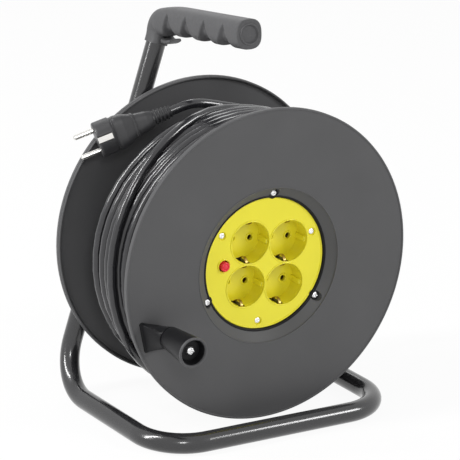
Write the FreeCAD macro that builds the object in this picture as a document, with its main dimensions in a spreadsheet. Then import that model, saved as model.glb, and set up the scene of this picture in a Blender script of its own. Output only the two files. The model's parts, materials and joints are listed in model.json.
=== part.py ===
import FreeCAD, Part
import math
import os
from types import SimpleNamespace

import Sketcher
from FreeCAD import Placement, Rotation, Vector

# Extension cord reel on a bent tube stand, millimetres, +Z up, +Y along the axle away from the user.
# The origin is on the floor, at the middle of the reel's footprint.

DRIVING = {
    # drum
    "flange_radius": 145,
    "drum_width": 138,
    "flange_wall": 3,
    "rim_lip": 4.5,
    "rim_wall": 2.6,
    "core_radius": 75,
    "core_wall": 3,
    "hub_radius": 16,
    "hub_bore": 12.5,
    "hub_start": 10.5,
    "rib_reach": 30,
    "rib_wall": 2.6,
    "dish_radius": 73,
    "dish_foot": 63.5,
    "drum_turn": 5,
    "axle_height": 152.8,
    # socket plate
    "plate_radius": 61.4,
    "plate_wall": 3,
    "plate_recess": 9,
    "seat_radius": 62.2,
    "seat_ledge": 3,
    "socket_radius": 19.5,
    "socket_depth": 17.5,
    "socket_wall": 1.7,
    "socket_pitch": 40.5,
    "grid_shift": 3,
    "grid_drop": 0.6,
    "pin_pitch": 19,
    "pin_hole": 2.75,
    "clip_width": 5,
    "cover_depth": 22,
    "button_radius": 4.9,
    "button_reach": 4,
    "button_offset": 42.4,
    "rim_screw_circle": 66,
    "plate_screw_circle": 54.5,
    # crank
    "crank_circle": 120.5,
    "crank_angle": -154,
    "stem_length": 22,
    "stem_base": 14.5,
    "stem_corner": 18.6,
    "stem_neck": 10.2,
    "knob_length": 40.7,
    "knob_radius": 13.5,
    # axle
    "sleeve_radius": 10,
    "sleeve_bore": 4.2,
    "bolt_radius": 4,
    "bush_gap": 0.05,
    # stand
    "tube_radius": 9.25,
    "tube_wall": 1.5,
    "bend_radius": 45,
    "top_bend": 24,
    "front_half": 121,
    "left_rear": 133,
    "right_rear": 114,
    "front_run": 98.5,
    "leg_back": 83.25,
    "leg_top": 351.1,
    "leg_top_side": 30,
    "shoulder_side": 57,
    # grip
    "grip_front": 63.5,
    "grip_front_side": 30.5,
    "grip_rise": 15.3,
    "grip_cover": 6,
    "grip_width": 24,
    "grip_height": 26.5,
    "grip_collar": 23,
    "grip_knee": 27,
    "grip_sag": 4.3,
    "groove_pitch": 33.5,
    # cord
    "cord_diameter": 8.7,
    "layer_radius": 129.5,
    "layer_start": -58.5,
    "layer_end": 24,
    "gland_angle": -60,
    "gland_back": -48,
    # plug
    "plug_back": 28,
    "plug_tail_radius": 135.4,
    "plug_tail_angle": 117.5,
    "plug_heading": 206.25,
    "plug_tilt": 15.7,
    "plug_roll": 20,
    "plug_length": 70.5,
    "plug_head": 16.5,
}

TURNS = 8
STATIONS = 34
SCREW_ANGLES = (90, -30, -150)
PLATE_SCREW_ANGLES = (150, 30, -90)
LEFT, RIGHT = -1, 1


class Size:
    """A length or angle that remembers the sheet formula it is worked out from."""

    def __init__(self, value, formula=None):
        self.value = float(value)
        self.formula = formula or repr(float(value))

    def joined(self, other, sign, value):
        return Size(value, "(%s %s %s)" % (self.formula, sign, other.formula))

    def __add__(self, other):
        other = as_size(other)
        return self.joined(other, "+", self.value + other.value)

    def __sub__(self, other):
        other = as_size(other)
        return self.joined(other, "-", self.value - other.value)

    def __mul__(self, other):
        other = as_size(other)
        return self.joined(other, "*", self.value * other.value)

    def __truediv__(self, other):
        other = as_size(other)
        return self.joined(other, "/", self.value / other.value)

    def __radd__(self, other):
        return as_size(other) + self

    def __rsub__(self, other):
        return as_size(other) - self

    def __rmul__(self, other):
        return as_size(other) * self

    def __neg__(self):
        return as_size(0) - self


def as_size(value):
    return value if isinstance(value, Size) else Size(value)


doc = FreeCAD.newDocument("cord_reel")
sheet = doc.addObject("Spreadsheet::Sheet", "Sizes")
for row, (alias, number) in enumerate(DRIVING.items(), start=1):
    sheet.set("A%d" % row, alias)
    sheet.set("B%d" % row, str(number))
    sheet.setAlias("B%d" % row, alias)
doc.recompute()
dim = SimpleNamespace(**{name: Size(number, "Sizes." + name) for name, number in DRIVING.items()})

# Places along the axle, from the drum's middle; the front is towards -Y.
FRONT_FACE = -(dim.drum_width / 2)
FRONT_INNER = FRONT_FACE + dim.flange_wall
REAR_FACE = dim.drum_width / 2
REAR_INNER = REAR_FACE - dim.flange_wall
PLATE_FACE = FRONT_FACE + dim.plate_recess
PLATE_BACK = PLATE_FACE + dim.plate_wall
SOCKET_FLOOR = PLATE_FACE + dim.socket_depth
SOCKET_BACK = SOCKET_FLOOR + 2.5
COVER_FACE = SOCKET_FLOOR + dim.cover_depth
COVER_WALL = 2.5
LEDGE_BACK = PLATE_BACK + 2.2
KNOB_GAP = 0.3
KNOB_BACK = FRONT_FACE - dim.stem_length - KNOB_GAP
KNOB_FRONT = KNOB_BACK - dim.knob_length
BRACKET_WALL = 3
BRACKET_BACK = dim.leg_back - dim.tube_radius
BRACKET_FACE = BRACKET_BACK - BRACKET_WALL
SADDLE_WALL = 2
BOLT_SEAT = dim.leg_back + dim.tube_radius + SADDLE_WALL
BOLT_HEAD = 5.3
HUB_END = dim.hub_start
SLEEVE_END = HUB_END - 0.5
DRUM_Y = (dim.knob_length + dim.stem_length + KNOB_GAP + dim.drum_width / 2 - BOLT_SEAT - BOLT_HEAD) / 2
TUBE_Z = dim.tube_radius - dim.axle_height


def bind(item, **sizes):
    """Ties an object's properties to the sheet."""
    for name, size in sizes.items():
        item.setExpression(name, as_size(size).formula)
    return item


def local(item, x=0, y=0, z=0, rotation=None):
    """Places a helper piece in its sub-part's own frame, tied to the sheet."""
    item.Placement = Placement(Vector(0, 0, 0), rotation or Rotation())
    for axis, size in zip("xyz", (x, y, z)):
        item.setExpression("Placement.Base." + axis, as_size(size).formula)
    return item


def on_drum(item):
    """Sets a finished sub-part on the drum's axis, turned as the drum stands."""
    item.Placement = Placement(Vector(0, 0, 0), Rotation(Vector(0, 1, 0), dim.drum_turn.value))
    item.setExpression("Placement.Base.y", DRUM_Y.formula)
    item.setExpression("Placement.Base.z", dim.axle_height.formula)
    item.setExpression("Placement.Rotation.Angle", dim.drum_turn.formula)
    return item


def on_stand(item):
    """Sets a finished sub-part in the stand, which doesn't turn."""
    item.setExpression("Placement.Base.y", DRUM_Y.formula)
    item.setExpression("Placement.Base.z", dim.axle_height.formula)
    return item


finished = []


def sub_part(item, label):
    item.Label = label
    finished.append(item)
    return item


ALONG_Y = Rotation(Vector(1, 0, 0), -90)


def rod(name, radius, start, length, x=0, z=0):
    """A cylinder along +Y from start."""
    item = bind(doc.addObject("Part::Cylinder", name), Radius=radius, Height=length)
    return local(item, x, start, z, ALONG_Y)


def cone(name, start_radius, end_radius, start, length, x=0, z=0):
    item = bind(doc.addObject("Part::Cone", name), Radius1=start_radius, Radius2=end_radius, Height=length)
    return local(item, x, start, z, ALONG_Y)


def block(name, width, depth, height, x=0, y=0, z=0, rotation=None):
    item = bind(doc.addObject("Part::Box", name), Length=width, Width=depth, Height=height)
    return local(item, x, y, z, rotation)


def fused(name, items):
    item = doc.addObject("Part::MultiFuse", name)
    item.Shapes = list(items)
    item.Refine = False
    return item


def cut(name, base, tools):
    """Takes one or more tools out of a base."""
    tools = list(tools)
    item = doc.addObject("Part::Cut", name)
    item.Base = base
    item.Tool = tools[0] if len(tools) == 1 else fused(name + "_tools", tools)
    return item


def group(name, items):
    item = doc.addObject("Part::Compound", name)
    item.Links = list(items)
    return item


def solid(name, shape):
    """A sub-part whose shape is worked out from the sheet's values directly."""
    item = doc.addObject("Part::Feature", name)
    item.Shape = shape
    return item


def origin_plane(body, role):
    return [plane for plane in body.Origin.OriginFeatures if plane.Role == role][0]


def closed_outline(sketch, corners):
    """Straight sides through corners whose two places are both tied to the sheet."""
    places = [(as_size(x), as_size(y)) for x, y in corners]
    count = len(places)
    for index in range(count):
        here, there = places[index], places[(index + 1) % count]
        start = Vector(here[0].value, here[1].value, 0)
        end = Vector(there[0].value, there[1].value, 0)
        sketch.addGeometry(Part.LineSegment(start, end), False)
    for index in range(count):
        sketch.addConstraint(Sketcher.Constraint("Coincident", index, 2, (index + 1) % count, 1))
    for index, (x, y) in enumerate(places):
        for kind, size in (("DistanceX", x), ("DistanceY", y)):
            number = sketch.addConstraint(Sketcher.Constraint(kind, -1, 1, index, 1, size.value))
            sketch.setExpression("Constraints[%d]" % number, size.formula)


def turned_body(name, corners):
    """A body turned about the Y axis from corners given as radius and place along Y."""
    body = doc.addObject("PartDesign::Body", name)
    sketch = body.newObject("Sketcher::SketchObject", name + "_profile")
    sketch.AttachmentSupport = [(origin_plane(body, "XY_Plane"), "")]
    sketch.MapMode = "FlatFace"
    closed_outline(sketch, corners)
    turned = body.newObject("PartDesign::Revolution", name + "_turned")
    turned.Profile = sketch
    turned.ReferenceAxis = (sketch, ["V_Axis"])
    turned.Angle = 360
    doc.recompute()
    return body


def circle_sketch(body, name, circles, plane_y):
    """A sketch of circles, given as x, z and radius, on the plane across the axle at plane_y."""
    sketch = body.newObject("Sketcher::SketchObject", name + "_circles")
    sketch.AttachmentSupport = [(origin_plane(body, "XZ_Plane"), "")]
    sketch.MapMode = "FlatFace"
    sketch.AttachmentOffset = Placement(Vector(0, 0, -as_size(plane_y).value), Rotation())
    sketch.setExpression("AttachmentOffset.Base.z", (-as_size(plane_y)).formula)
    for index, (x, z, radius) in enumerate(circles):
        x, z, radius = as_size(x), as_size(z), as_size(radius)
        sketch.addGeometry(Part.Circle(Vector(x.value, z.value, 0), Vector(0, 0, 1), radius.value), False)
        for kind, size in (("DistanceX", x), ("DistanceY", z)):
            number = sketch.addConstraint(Sketcher.Constraint(kind, -1, 1, index, 3, size.value))
            sketch.setExpression("Constraints[%d]" % number, size.formula)
        number = sketch.addConstraint(Sketcher.Constraint("Radius", index, radius.value))
        sketch.setExpression("Constraints[%d]" % number, radius.formula)
    doc.recompute()
    return sketch


def bored(body, name, circles, start, end):
    """Pockets round holes into a body from one place along the axle to another."""
    before = body.Shape.Volume
    pocket = body.newObject("PartDesign::Pocket", name + "_holes")
    pocket.Profile = circle_sketch(body, name, circles, start)
    pocket.setExpression("Length", (as_size(end) - start).formula)
    doc.recompute()
    if body.Shape.Volume >= before:
        raise RuntimeError(name + " cut nothing")


def raised(body, name, circles, start, end):
    """Pads round bosses onto a body from its inner side at end towards the front at start."""
    pad = body.newObject("PartDesign::Pad", name + "_pads")
    pad.Profile = circle_sketch(body, name, circles, end)
    pad.setExpression("Length", (as_size(end) - start).formula)
    doc.recompute()


def grooved(body, name, corners):
    """Takes a turned profile out of a body."""
    sketch = body.newObject("Sketcher::SketchObject", name + "_profile")
    sketch.AttachmentSupport = [(origin_plane(body, "XY_Plane"), "")]
    sketch.MapMode = "FlatFace"
    closed_outline(sketch, corners)
    groove = body.newObject("PartDesign::Groove", name + "_turned")
    groove.Profile = sketch
    groove.ReferenceAxis = (sketch, ["V_Axis"])
    groove.Angle = 360
    doc.recompute()


def polar(circle, angle):
    """X and Z of a point on a circle about the axle."""
    turn = math.radians(as_size(angle).value)
    return circle * math.cos(turn), circle * math.sin(turn)


def screw(name, shank, head, head_height, seat, reach, x, z, slot=1.2):
    """A pan-head screw along +Y whose head's underside is at seat."""
    shaft = rod(name + "_shank", shank, seat, reach, x, z)
    cap = rod(name + "_head", head, seat - head_height, head_height, x, z)
    rows = [
        block(name + "_row_a", head * 1.3, 1.4, slot, x - head * 0.65, seat - head_height - 0.6, z - slot / 2),
        block(name + "_row_b", slot, 1.4, head * 1.3, x - slot / 2, seat - head_height - 0.6, z - head * 0.65),
    ]
    return cut(name, fused(name + "_whole", [shaft, cap]), rows)


# Bent tube and cord paths: straight runs joined by tangent arcs, and arcs in pairs on a winding.


def arc_edge(start, tangent, end):
    """The arc that leaves start along tangent and reaches end, and its radius."""
    chord = end - start
    side = chord - tangent * chord.dot(tangent)
    if side.Length < 1e-6 * chord.Length:
        return Part.LineSegment(start, end).toShape(), None
    radius = chord.Length ** 2 / (2 * side.Length)
    centre = start + side.normalize() * radius
    middle = (start - centre) + (end - centre)
    middle = centre + middle.normalize() * radius
    return Part.Arc(start, middle, end).toShape(), radius


def arc_pair(start, start_way, end, end_way):
    """Two arcs, tangent to each other, between two points with given directions."""
    chord = end - start
    total = start_way + end_way
    spread = 2 * (1 - start_way.dot(end_way))
    along = chord.dot(total)
    if spread < 1e-9:
        reach = chord.dot(chord) / (2 * along)
    else:
        reach = (-along + math.sqrt(along ** 2 + spread * chord.dot(chord))) / spread
    joint = (start + start_way * reach + end - end_way * reach) * 0.5
    first, first_radius = arc_edge(start, start_way, joint)
    second, second_radius = arc_edge(end, end_way * -1, joint)
    second.reverse()
    return [first, second], [first_radius, second_radius]


def bent_run(points, radii):
    """Edges of straight runs through points, with an arc of the given radius at each inner point."""
    edges = []
    here = points[0]
    for index in range(1, len(points) - 1):
        corner = points[index]
        back = (points[index - 1] - corner).normalize()
        ahead = (points[index + 1] - corner).normalize()
        half = back.getAngle(ahead) / 2
        setback = radii[index - 1] / math.tan(half)
        inner = (back + ahead).normalize()
        arc_start = corner + back * setback
        arc_end = corner + ahead * setback
        middle = corner + inner * (radii[index - 1] / math.sin(half) - radii[index - 1])
        edges.append(Part.LineSegment(here, arc_start).toShape())
        edges.append(Part.Arc(arc_start, middle, arc_end).toShape())
        here = arc_end
    edges.append(Part.LineSegment(here, points[-1]).toShape())
    return edges


def swept(edges, radius):
    """A round bar along a path of edges."""
    path = Part.Wire(edges)
    start = edges[0].valueAt(edges[0].FirstParameter)
    way = edges[0].tangentAt(edges[0].FirstParameter)
    ring = Part.Wire([Part.makeCircle(radius, start, way)])
    return path.makePipeShell([ring], True, False)


# Stand: one tube, bent from the grip down the left leg, round the floor and up to the crossbar.


def stand_points():
    """The tube's corners from inside the grip to the crossbar, where the crossbar ends, and the bends."""
    floor = TUBE_Z.value
    back = dim.leg_back.value
    top = dim.leg_top.value - dim.axle_height.value
    side = dim.leg_top_side.value
    front = dim.front_half.value
    corners = [
        Vector(-dim.grip_front_side.value, -dim.grip_front.value, top + dim.grip_rise.value),
        Vector(-side, back, top),
        Vector(-dim.left_rear.value, back, floor),
        Vector(-front, -dim.front_run.value, floor),
        Vector(front, -dim.front_run.value, floor),
        Vector(dim.right_rear.value, back, floor),
        Vector(dim.shoulder_side.value, back, 0),
    ]
    lean = (dim.left_rear.value - side) / (top - floor)
    crossbar_end = Vector(-side - lean * top, back, 0)
    bends = [dim.top_bend.value] + [dim.bend_radius.value] * 5
    return corners, crossbar_end, bends


def build_stand_tube():
    """Two lengths that meet in the left floor run, hollowed as one and drilled for the axle bolt."""
    radius = dim.tube_radius.value
    corners, crossbar_end, bends = stand_points()
    middle = (corners[2] + corners[3]) * 0.5
    leg = swept(bent_run(corners[:3] + [middle], bends[:2]), radius)
    rest = swept(bent_run([middle] + corners[3:] + [crossbar_end], bends[2:]), radius)
    inside_end = crossbar_end + Vector(radius * 1.1, 0, 0)
    inside = swept(bent_run(corners + [inside_end], bends), radius - dim.tube_wall.value)
    bolt_start = Vector(0, dim.leg_back.value - 2 * radius, 0)
    bolt_hole = Part.makeCylinder(dim.sleeve_bore.value, 4 * radius, bolt_start, Vector(0, 1, 0))
    return leg.fuse(rest).cut(inside).cut(bolt_hole)


def grip_axis():
    corners, _, _ = stand_points()
    front, corner, foot = corners[0], corners[1], corners[2]
    ahead = (front - corner).normalize()
    down = (foot - corner).normalize()
    return front, corner, ahead, down


def grip_frame(ahead):
    """Sideways and upwards directions square to the grip's bar."""
    across = ahead.cross(Vector(0, 0, 1)).normalize()
    return across, across.cross(ahead).normalize()


def rounded_section(centre, across, upward, width, height, corner):
    """A closed rounded rectangle about a centre."""
    def at(side, rise):
        return centre + across * side + upward * rise

    half_w, half_h = width / 2, height / 2
    slant = corner * (1 - math.sqrt(0.5))
    arcs = []
    for sx, sz in ((1, 1), (-1, 1), (-1, -1), (1, -1)):
        first = at(sx * half_w, sz * (half_h - corner))
        middle = at(sx * (half_w - slant), sz * (half_h - slant))
        last = at(sx * (half_w - corner), sz * half_h)
        arcs.append((last, middle, first) if sx * sz < 0 else (first, middle, last))
    edges = []
    for index, (first, middle, last) in enumerate(arcs):
        edges.append(Part.Arc(first, middle, last).toShape())
        edges.append(Part.LineSegment(last, arcs[(index + 1) % 4][0]).toShape())
    return Part.Wire(edges)


def build_grip():
    """A moulded grip over the tube's top bend: a sloped shoulder, finger grooves on each side, a hook below."""
    front, corner, ahead, down = grip_axis()
    width, height = dim.grip_width.value, dim.grip_height.value
    tip = front + ahead * dim.grip_cover.value
    knee = corner + ahead * dim.grip_knee.value
    shoulder = corner + down * dim.grip_sag.value
    collar = corner + down * dim.grip_collar.value
    path = bent_run([tip, knee, shoulder, collar], [60, 15])
    across, upward = grip_frame(ahead)
    section = rounded_section(tip, across, upward, width, height, 10)
    body = Part.Wire(path).makePipeShell([section], True, False)

    def at(forward, low, side=0):
        return corner + ahead * forward + down * low + across * side

    hook_side = 8
    hook_places = [(7, 10), (7, 19.6), (12, 20.6), (17, 20.4), (24, 18), (25, 10)]
    hook = Part.Face(Part.makePolygon([at(*place, -hook_side) for place in hook_places + hook_places[:1]]))
    body = body.fuse(hook.extrude(across * (2 * hook_side)))
    tools = [swept(bent_run([front, corner, corner + down * 80], [dim.top_bend.value]), dim.tube_radius.value)]
    first_groove = (tip - corner).Length - 22
    for index in range(4):
        place = corner + ahead * (first_groove - index * dim.groove_pitch.value)
        for side in (LEFT, RIGHT):
            low = place + across * (side * (width / 2 + 11)) - upward * (height / 2 + 0.5)
            tools.append(Part.makeCone(14, 11.2, height * 0.8, low, upward))
    return body.cut(Part.makeCompound(tools))


def build_grip_cap():
    """A flat cap that closes the grip's front end, with a shallow round dimple."""
    front, corner, ahead, _ = grip_axis()
    across, upward = grip_frame(ahead)
    tip = front + ahead * dim.grip_cover.value
    section = Part.Face(rounded_section(tip, across, upward, dim.grip_width.value, dim.grip_height.value, 10))
    cap = section.extrude(ahead * 2.5)
    dimple = Part.makeCylinder(7, 3, tip + ahead * 1.9, ahead)
    return cap.cut(dimple)


tube_item = solid("stand_tube_bar", build_stand_tube())
sub_part(on_stand(tube_item), "stand_tube")
sub_part(on_stand(solid("grip_moulding", build_grip())), "handle_grip")
sub_part(on_stand(solid("grip_cap_moulding", build_grip_cap())), "grip_end_cap")

# Axle: a bracket plate welded to the crossbar, a sleeve clamped on it by one long bolt.


def crosswise(name, radius, length, y, z=0):
    """A cylinder along X, its middle at the drum's axis."""
    item = bind(doc.addObject("Part::Cylinder", name), Radius=radius, Height=length)
    return local(item, -as_size(length) / 2, y, z, Rotation(Vector(0, 1, 0), 90))


bracket = cut(
    "bracket_cut",
    fused(
        "bracket_whole",
        [
            block("bracket_sheet", 70, BRACKET_WALL, 60, -35, BRACKET_FACE, -30),
            crosswise("bracket_weld_high", 3, 60, BRACKET_BACK + 0.8, 6),
            crosswise("bracket_weld_low", 3, 60, BRACKET_BACK + 0.8, -6),
        ],
    ),
    [
        rod("bracket_hole", dim.sleeve_bore, BRACKET_FACE - 1, BRACKET_WALL + 4),
        crosswise("bracket_crossbar_room", dim.tube_radius, 90, dim.leg_back),
    ],
)
sub_part(on_stand(bracket), "bracket_plate")

sleeve = cut(
    "sleeve_cut",
    rod("sleeve_bar", dim.sleeve_radius, SLEEVE_END, BRACKET_FACE - SLEEVE_END),
    [rod("sleeve_hole", dim.sleeve_bore, SLEEVE_END - 1, BRACKET_FACE - SLEEVE_END + 2)],
)
sub_part(on_stand(sleeve), "spindle_sleeve")

THRUST_WALL = 1.5
thrust = cut(
    "thrust_cut",
    rod("thrust_disc", dim.sleeve_radius + 8, BRACKET_FACE - THRUST_WALL, THRUST_WALL),
    [rod("thrust_hole", dim.sleeve_radius, BRACKET_FACE - THRUST_WALL - 1, THRUST_WALL + 2)],
)
sub_part(on_stand(thrust), "thrust_washer")

WASHER_WALL = 2
NUT_HEIGHT = 6.5
washer = cut(
    "washer_cut",
    rod("washer_disc", 17, SLEEVE_END - WASHER_WALL, WASHER_WALL),
    [rod("washer_hole", dim.sleeve_bore, SLEEVE_END - WASHER_WALL - 1, WASHER_WALL + 2)],
)
sub_part(on_stand(washer), "spindle_washer")


def hexagon(name, across_flats, start, length):
    item = bind(doc.addObject("Part::Prism", name), Circumradius=across_flats / math.sqrt(3), Height=length)
    item.Polygon = 6
    return local(item, 0, start, 0, ALONG_Y)


NUT_START = SLEEVE_END - WASHER_WALL - NUT_HEIGHT
nut = cut(
    "nut_cut",
    hexagon("nut_hex", 13, NUT_START, NUT_HEIGHT),
    [rod("nut_hole", dim.bolt_radius, NUT_START - 1, NUT_HEIGHT + 2)],
)
sub_part(on_stand(nut), "spindle_nut")

bolt = fused(
    "bolt_whole",
    [
        rod("bolt_shank", dim.bolt_radius, NUT_START - 2, BOLT_SEAT - NUT_START + 2.5),
        hexagon("bolt_hex", 13, BOLT_SEAT, BOLT_HEAD),
    ],
)
sub_part(on_stand(bolt), "spindle_bolt")

saddle = cut(
    "saddle_cut",
    block("saddle_block", 22, 7, 16, -11, BOLT_SEAT - 7, -8),
    [
        rod("saddle_hole", dim.sleeve_bore, BOLT_SEAT - 9, 12),
        crosswise("saddle_groove", dim.tube_radius, 40, dim.leg_back),
    ],
)
sub_part(on_stand(saddle), "saddle_washer")

# Drum: two flanges, a core between them and a hub on two bushes.

rear_flange = turned_body(
    "rear_flange_body",
    [
        (dim.hub_bore, REAR_FACE),
        (dim.flange_radius - 1, REAR_FACE),
        (dim.flange_radius, REAR_FACE - 1),
        (dim.flange_radius, REAR_FACE - dim.rim_lip + 0.8),
        (dim.flange_radius - 0.8, REAR_FACE - dim.rim_lip),
        (dim.flange_radius - dim.rim_wall, REAR_FACE - dim.rim_lip),
        (dim.flange_radius - dim.rim_wall - 1, REAR_INNER),
        (dim.hub_radius, REAR_INNER),
        (dim.hub_radius, HUB_END),
        (dim.hub_bore, HUB_END),
    ],
)
rib_sketch = rear_flange.newObject("Sketcher::SketchObject", "rib_profile")
rib_sketch.AttachmentSupport = [(origin_plane(rear_flange, "XY_Plane"), "")]
rib_sketch.MapMode = "FlatFace"
closed_outline(
    rib_sketch,
    [
        (dim.hub_radius - 1, REAR_INNER + 1),
        (dim.core_radius - dim.core_wall - 0.2, REAR_INNER + 1),
        (dim.core_radius - dim.core_wall - 0.2, REAR_INNER - dim.rib_reach * 0.4),
        (dim.hub_radius - 1, REAR_INNER - dim.rib_reach),
    ],
)
rib = rear_flange.newObject("PartDesign::Pad", "rib")
rib.Profile = rib_sketch
rib.Midplane = True
rib.setExpression("Length", dim.rib_wall.formula)
doc.recompute()
ribs = rear_flange.newObject("PartDesign::PolarPattern", "ribs")
ribs.Originals = [rib]
ribs.Axis = (rib_sketch, ["V_Axis"])
ribs.Angle = 360
ribs.Occurrences = 6
rear_flange.Tip = ribs
doc.recompute()
screw_places = [polar(dim.rim_screw_circle, angle) for angle in SCREW_ANGLES]
SCREW_SHANK = 1.9
SCREW_HOLE = 2.2
screw_circles = [(x, z, SCREW_HOLE) for x, z in screw_places]
bored(rear_flange, "rear_screw", screw_circles, REAR_INNER - 1, REAR_FACE + 1)
sub_part(on_drum(rear_flange), "rear_flange")

front_flange = turned_body(
    "front_flange_body",
    [
        (dim.dish_radius, FRONT_FACE),
        (dim.flange_radius - 1, FRONT_FACE),
        (dim.flange_radius, FRONT_FACE + 1),
        (dim.flange_radius, FRONT_FACE + dim.rim_lip - 0.8),
        (dim.flange_radius - 0.8, FRONT_FACE + dim.rim_lip),
        (dim.flange_radius - dim.rim_wall, FRONT_FACE + dim.rim_lip),
        (dim.flange_radius - dim.rim_wall - 1, FRONT_INNER),
        (dim.dish_radius - 1.2, FRONT_INNER),
        (dim.seat_radius + 1.9, PLATE_FACE + 1.2),
        (dim.seat_radius + 1.9, LEDGE_BACK),
        (dim.seat_radius - dim.seat_ledge, LEDGE_BACK),
        (dim.seat_radius - dim.seat_ledge, PLATE_BACK),
        (dim.seat_radius, PLATE_BACK),
        (dim.seat_radius, PLATE_FACE - 1.5),
        (dim.dish_foot, PLATE_FACE - 2),
    ],
)
SCREW_SEAT = PLATE_FACE - 0.5
CUP_FRONT = FRONT_FACE + 4
raised(front_flange, "screw_cup", [(x, z, 5.8) for x, z in screw_places], CUP_FRONT, LEDGE_BACK)
grooved(
    front_flange,
    "dish_room",
    [
        (0, FRONT_FACE - 1),
        (dim.dish_radius, FRONT_FACE - 1),
        (dim.dish_radius, FRONT_FACE),
        (dim.dish_foot, PLATE_FACE - 2),
        (dim.seat_radius, PLATE_FACE - 1.5),
        (dim.seat_radius, PLATE_BACK),
        (dim.seat_radius - dim.seat_ledge, PLATE_BACK),
        (dim.seat_radius - dim.seat_ledge, LEDGE_BACK + 1),
        (0, LEDGE_BACK + 1),
    ],
)
bored(front_flange, "screw_pocket", [(x, z, 4.6) for x, z in screw_places], FRONT_FACE - 1, SCREW_SEAT)
bored(front_flange, "front_screw", screw_circles, FRONT_FACE - 1, LEDGE_BACK + 1)
sub_part(on_drum(front_flange), "front_flange")

core_length = REAR_INNER - FRONT_INNER
core_wall_ring = cut(
    "core_ring",
    rod("core_outside", dim.core_radius, FRONT_INNER, core_length),
    [rod("core_inside", dim.core_radius - dim.core_wall, FRONT_INNER - 1, core_length + 2)],
)
BOSS_RADIUS = 4.6
BOSS_START = LEDGE_BACK
boss_length = REAR_INNER - BOSS_START
boss_parts = []
hole_parts = []
for number, (x, z) in enumerate(screw_places):
    boss_parts.append(rod("boss_%d" % number, BOSS_RADIUS, BOSS_START, boss_length, x, z))
    hole_parts.append(rod("boss_hole_%d" % number, SCREW_SHANK, BOSS_START - 1, boss_length + 2, x, z))
    web_x, web_z = polar(dim.core_radius - 6, SCREW_ANGLES[number])
    boss_parts.append(rod("boss_web_%d" % number, 4, BOSS_START, boss_length, web_x, web_z))
boss_trim = fused("bosses", boss_parts)
bosses_inside = doc.addObject("Part::Common", "bosses_in_core")
bosses_inside.Base = boss_trim
bosses_inside.Tool = rod("core_fill", dim.core_radius - 1, FRONT_INNER, core_length)
GLAND_HOLE = 6.5
gland_x, gland_z = polar(dim.core_radius - 12, dim.gland_angle)
gland_turn = Rotation(Vector(0, 1, 0), 90 - dim.gland_angle.value)
gland_hole = bind(doc.addObject("Part::Cylinder", "gland_hole"), Radius=GLAND_HOLE, Height=20)
local(gland_hole, gland_x, dim.gland_back, gland_z, gland_turn)
drum_core = cut("core_cut", fused("core_whole", [core_wall_ring, bosses_inside]), hole_parts + [gland_hole])
sub_part(on_drum(drum_core), "drum_core")


def bush(name, start, length=14):
    """A nylon bush pressed in the hub; the sleeve runs in it."""
    return cut(
        name,
        rod(name + "_outside", dim.hub_bore, start, length),
        [rod(name + "_bore", dim.sleeve_radius + dim.bush_gap, start - 1, length + 2)],
    )


bushes = group("bush_pair", [bush("bush_inner", HUB_END), bush("bush_rear", REAR_FACE - 14)])
sub_part(on_drum(bushes), "hub_bushes")

RIM_SCREW_HEAD = 4
front_screws = [
    screw("rim_screw_%d" % number, SCREW_SHANK, RIM_SCREW_HEAD, 2.4, SCREW_SEAT, 30, x, z)
    for number, (x, z) in enumerate(screw_places)
]
sub_part(on_drum(group("rim_screw_set", front_screws)), "rim_screws")


def rear_screw(name, x, z):
    shaft = rod(name + "_shank", SCREW_SHANK, REAR_FACE - 24, 24.5, x, z)
    head = cone(name + "_head", 4.2, 2.6, REAR_FACE, 2, x, z)
    return fused(name, [shaft, head])


rear_screws = [rear_screw("back_screw_%d" % number, x, z) for number, (x, z) in enumerate(screw_places)]
sub_part(on_drum(group("rear_screw_set", rear_screws)), "rear_flange_screws")

# Socket plate with four earthed sockets, and what is behind it.

half_pitch = dim.socket_pitch / 2
socket_places = [
    (dim.grid_shift + across * half_pitch, up * half_pitch - dim.grid_drop)
    for up in (1, -1)
    for across in (-1, 1)
]
plate_screw_places = [polar(dim.plate_screw_circle, angle) for angle in PLATE_SCREW_ANGLES]
cup_radius = dim.socket_radius + dim.socket_wall
CUP_GAP = 0.1
plate_holes = [
    rod("button_hole", dim.button_radius + 0.4, PLATE_FACE - 1, dim.plate_wall + 2,
        -dim.button_offset, -dim.grid_drop)
]
cups = []
for number, (x, z) in enumerate(socket_places):
    name = "socket_%d" % number
    plate_holes.append(rod(name + "_mouth", dim.socket_radius + 0.3, PLATE_FACE - 1, dim.plate_wall + 2, x, z))
    quarter = doc.addObject("Part::Common", name + "_quarter")
    quarter.Base = rod(name + "_cup", cup_radius, PLATE_BACK, SOCKET_BACK - PLATE_BACK, x, z)
    left = dim.grid_shift + (CUP_GAP / 2 if number % 2 else -50)
    low = -dim.grid_drop + (CUP_GAP / 2 if number < 2 else -50)
    quarter.Tool = block(name + "_room", 50 - CUP_GAP / 2, 40, 50 - CUP_GAP / 2, left, PLATE_BACK - 5, low)
    cup_holes = [rod(name + "_recess", dim.socket_radius, PLATE_BACK - 1, SOCKET_FLOOR - PLATE_BACK + 1, x, z)]
    for side in (-1, 1):
        pin_x = x + side * dim.pin_pitch / 2
        cup_holes.append(rod("%s_pin_%d" % (name, side + 1), dim.pin_hole, SOCKET_FLOOR - 1, 5, pin_x, z))
        slot_z = z + side * (dim.socket_radius + 0.2) - 0.9
        slot = block("%s_slot_%d" % (name, side + 1), dim.clip_width + 0.6, dim.socket_depth + 3, 1.8,
                     x - dim.clip_width / 2 - 0.3, PLATE_FACE + 2.5, slot_z)
        cup_holes.append(slot)
    cups.append(cut(name + "_cut", quarter, cup_holes))
for number, (x, z) in enumerate(plate_screw_places):
    plate_holes.append(rod("plate_screw_well_%d" % number, 3.8, PLATE_FACE - 1, 2.6, x, z))
    plate_holes.append(rod("plate_screw_hole_%d" % number, 1.8, PLATE_FACE - 1, 6, x, z))
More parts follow.
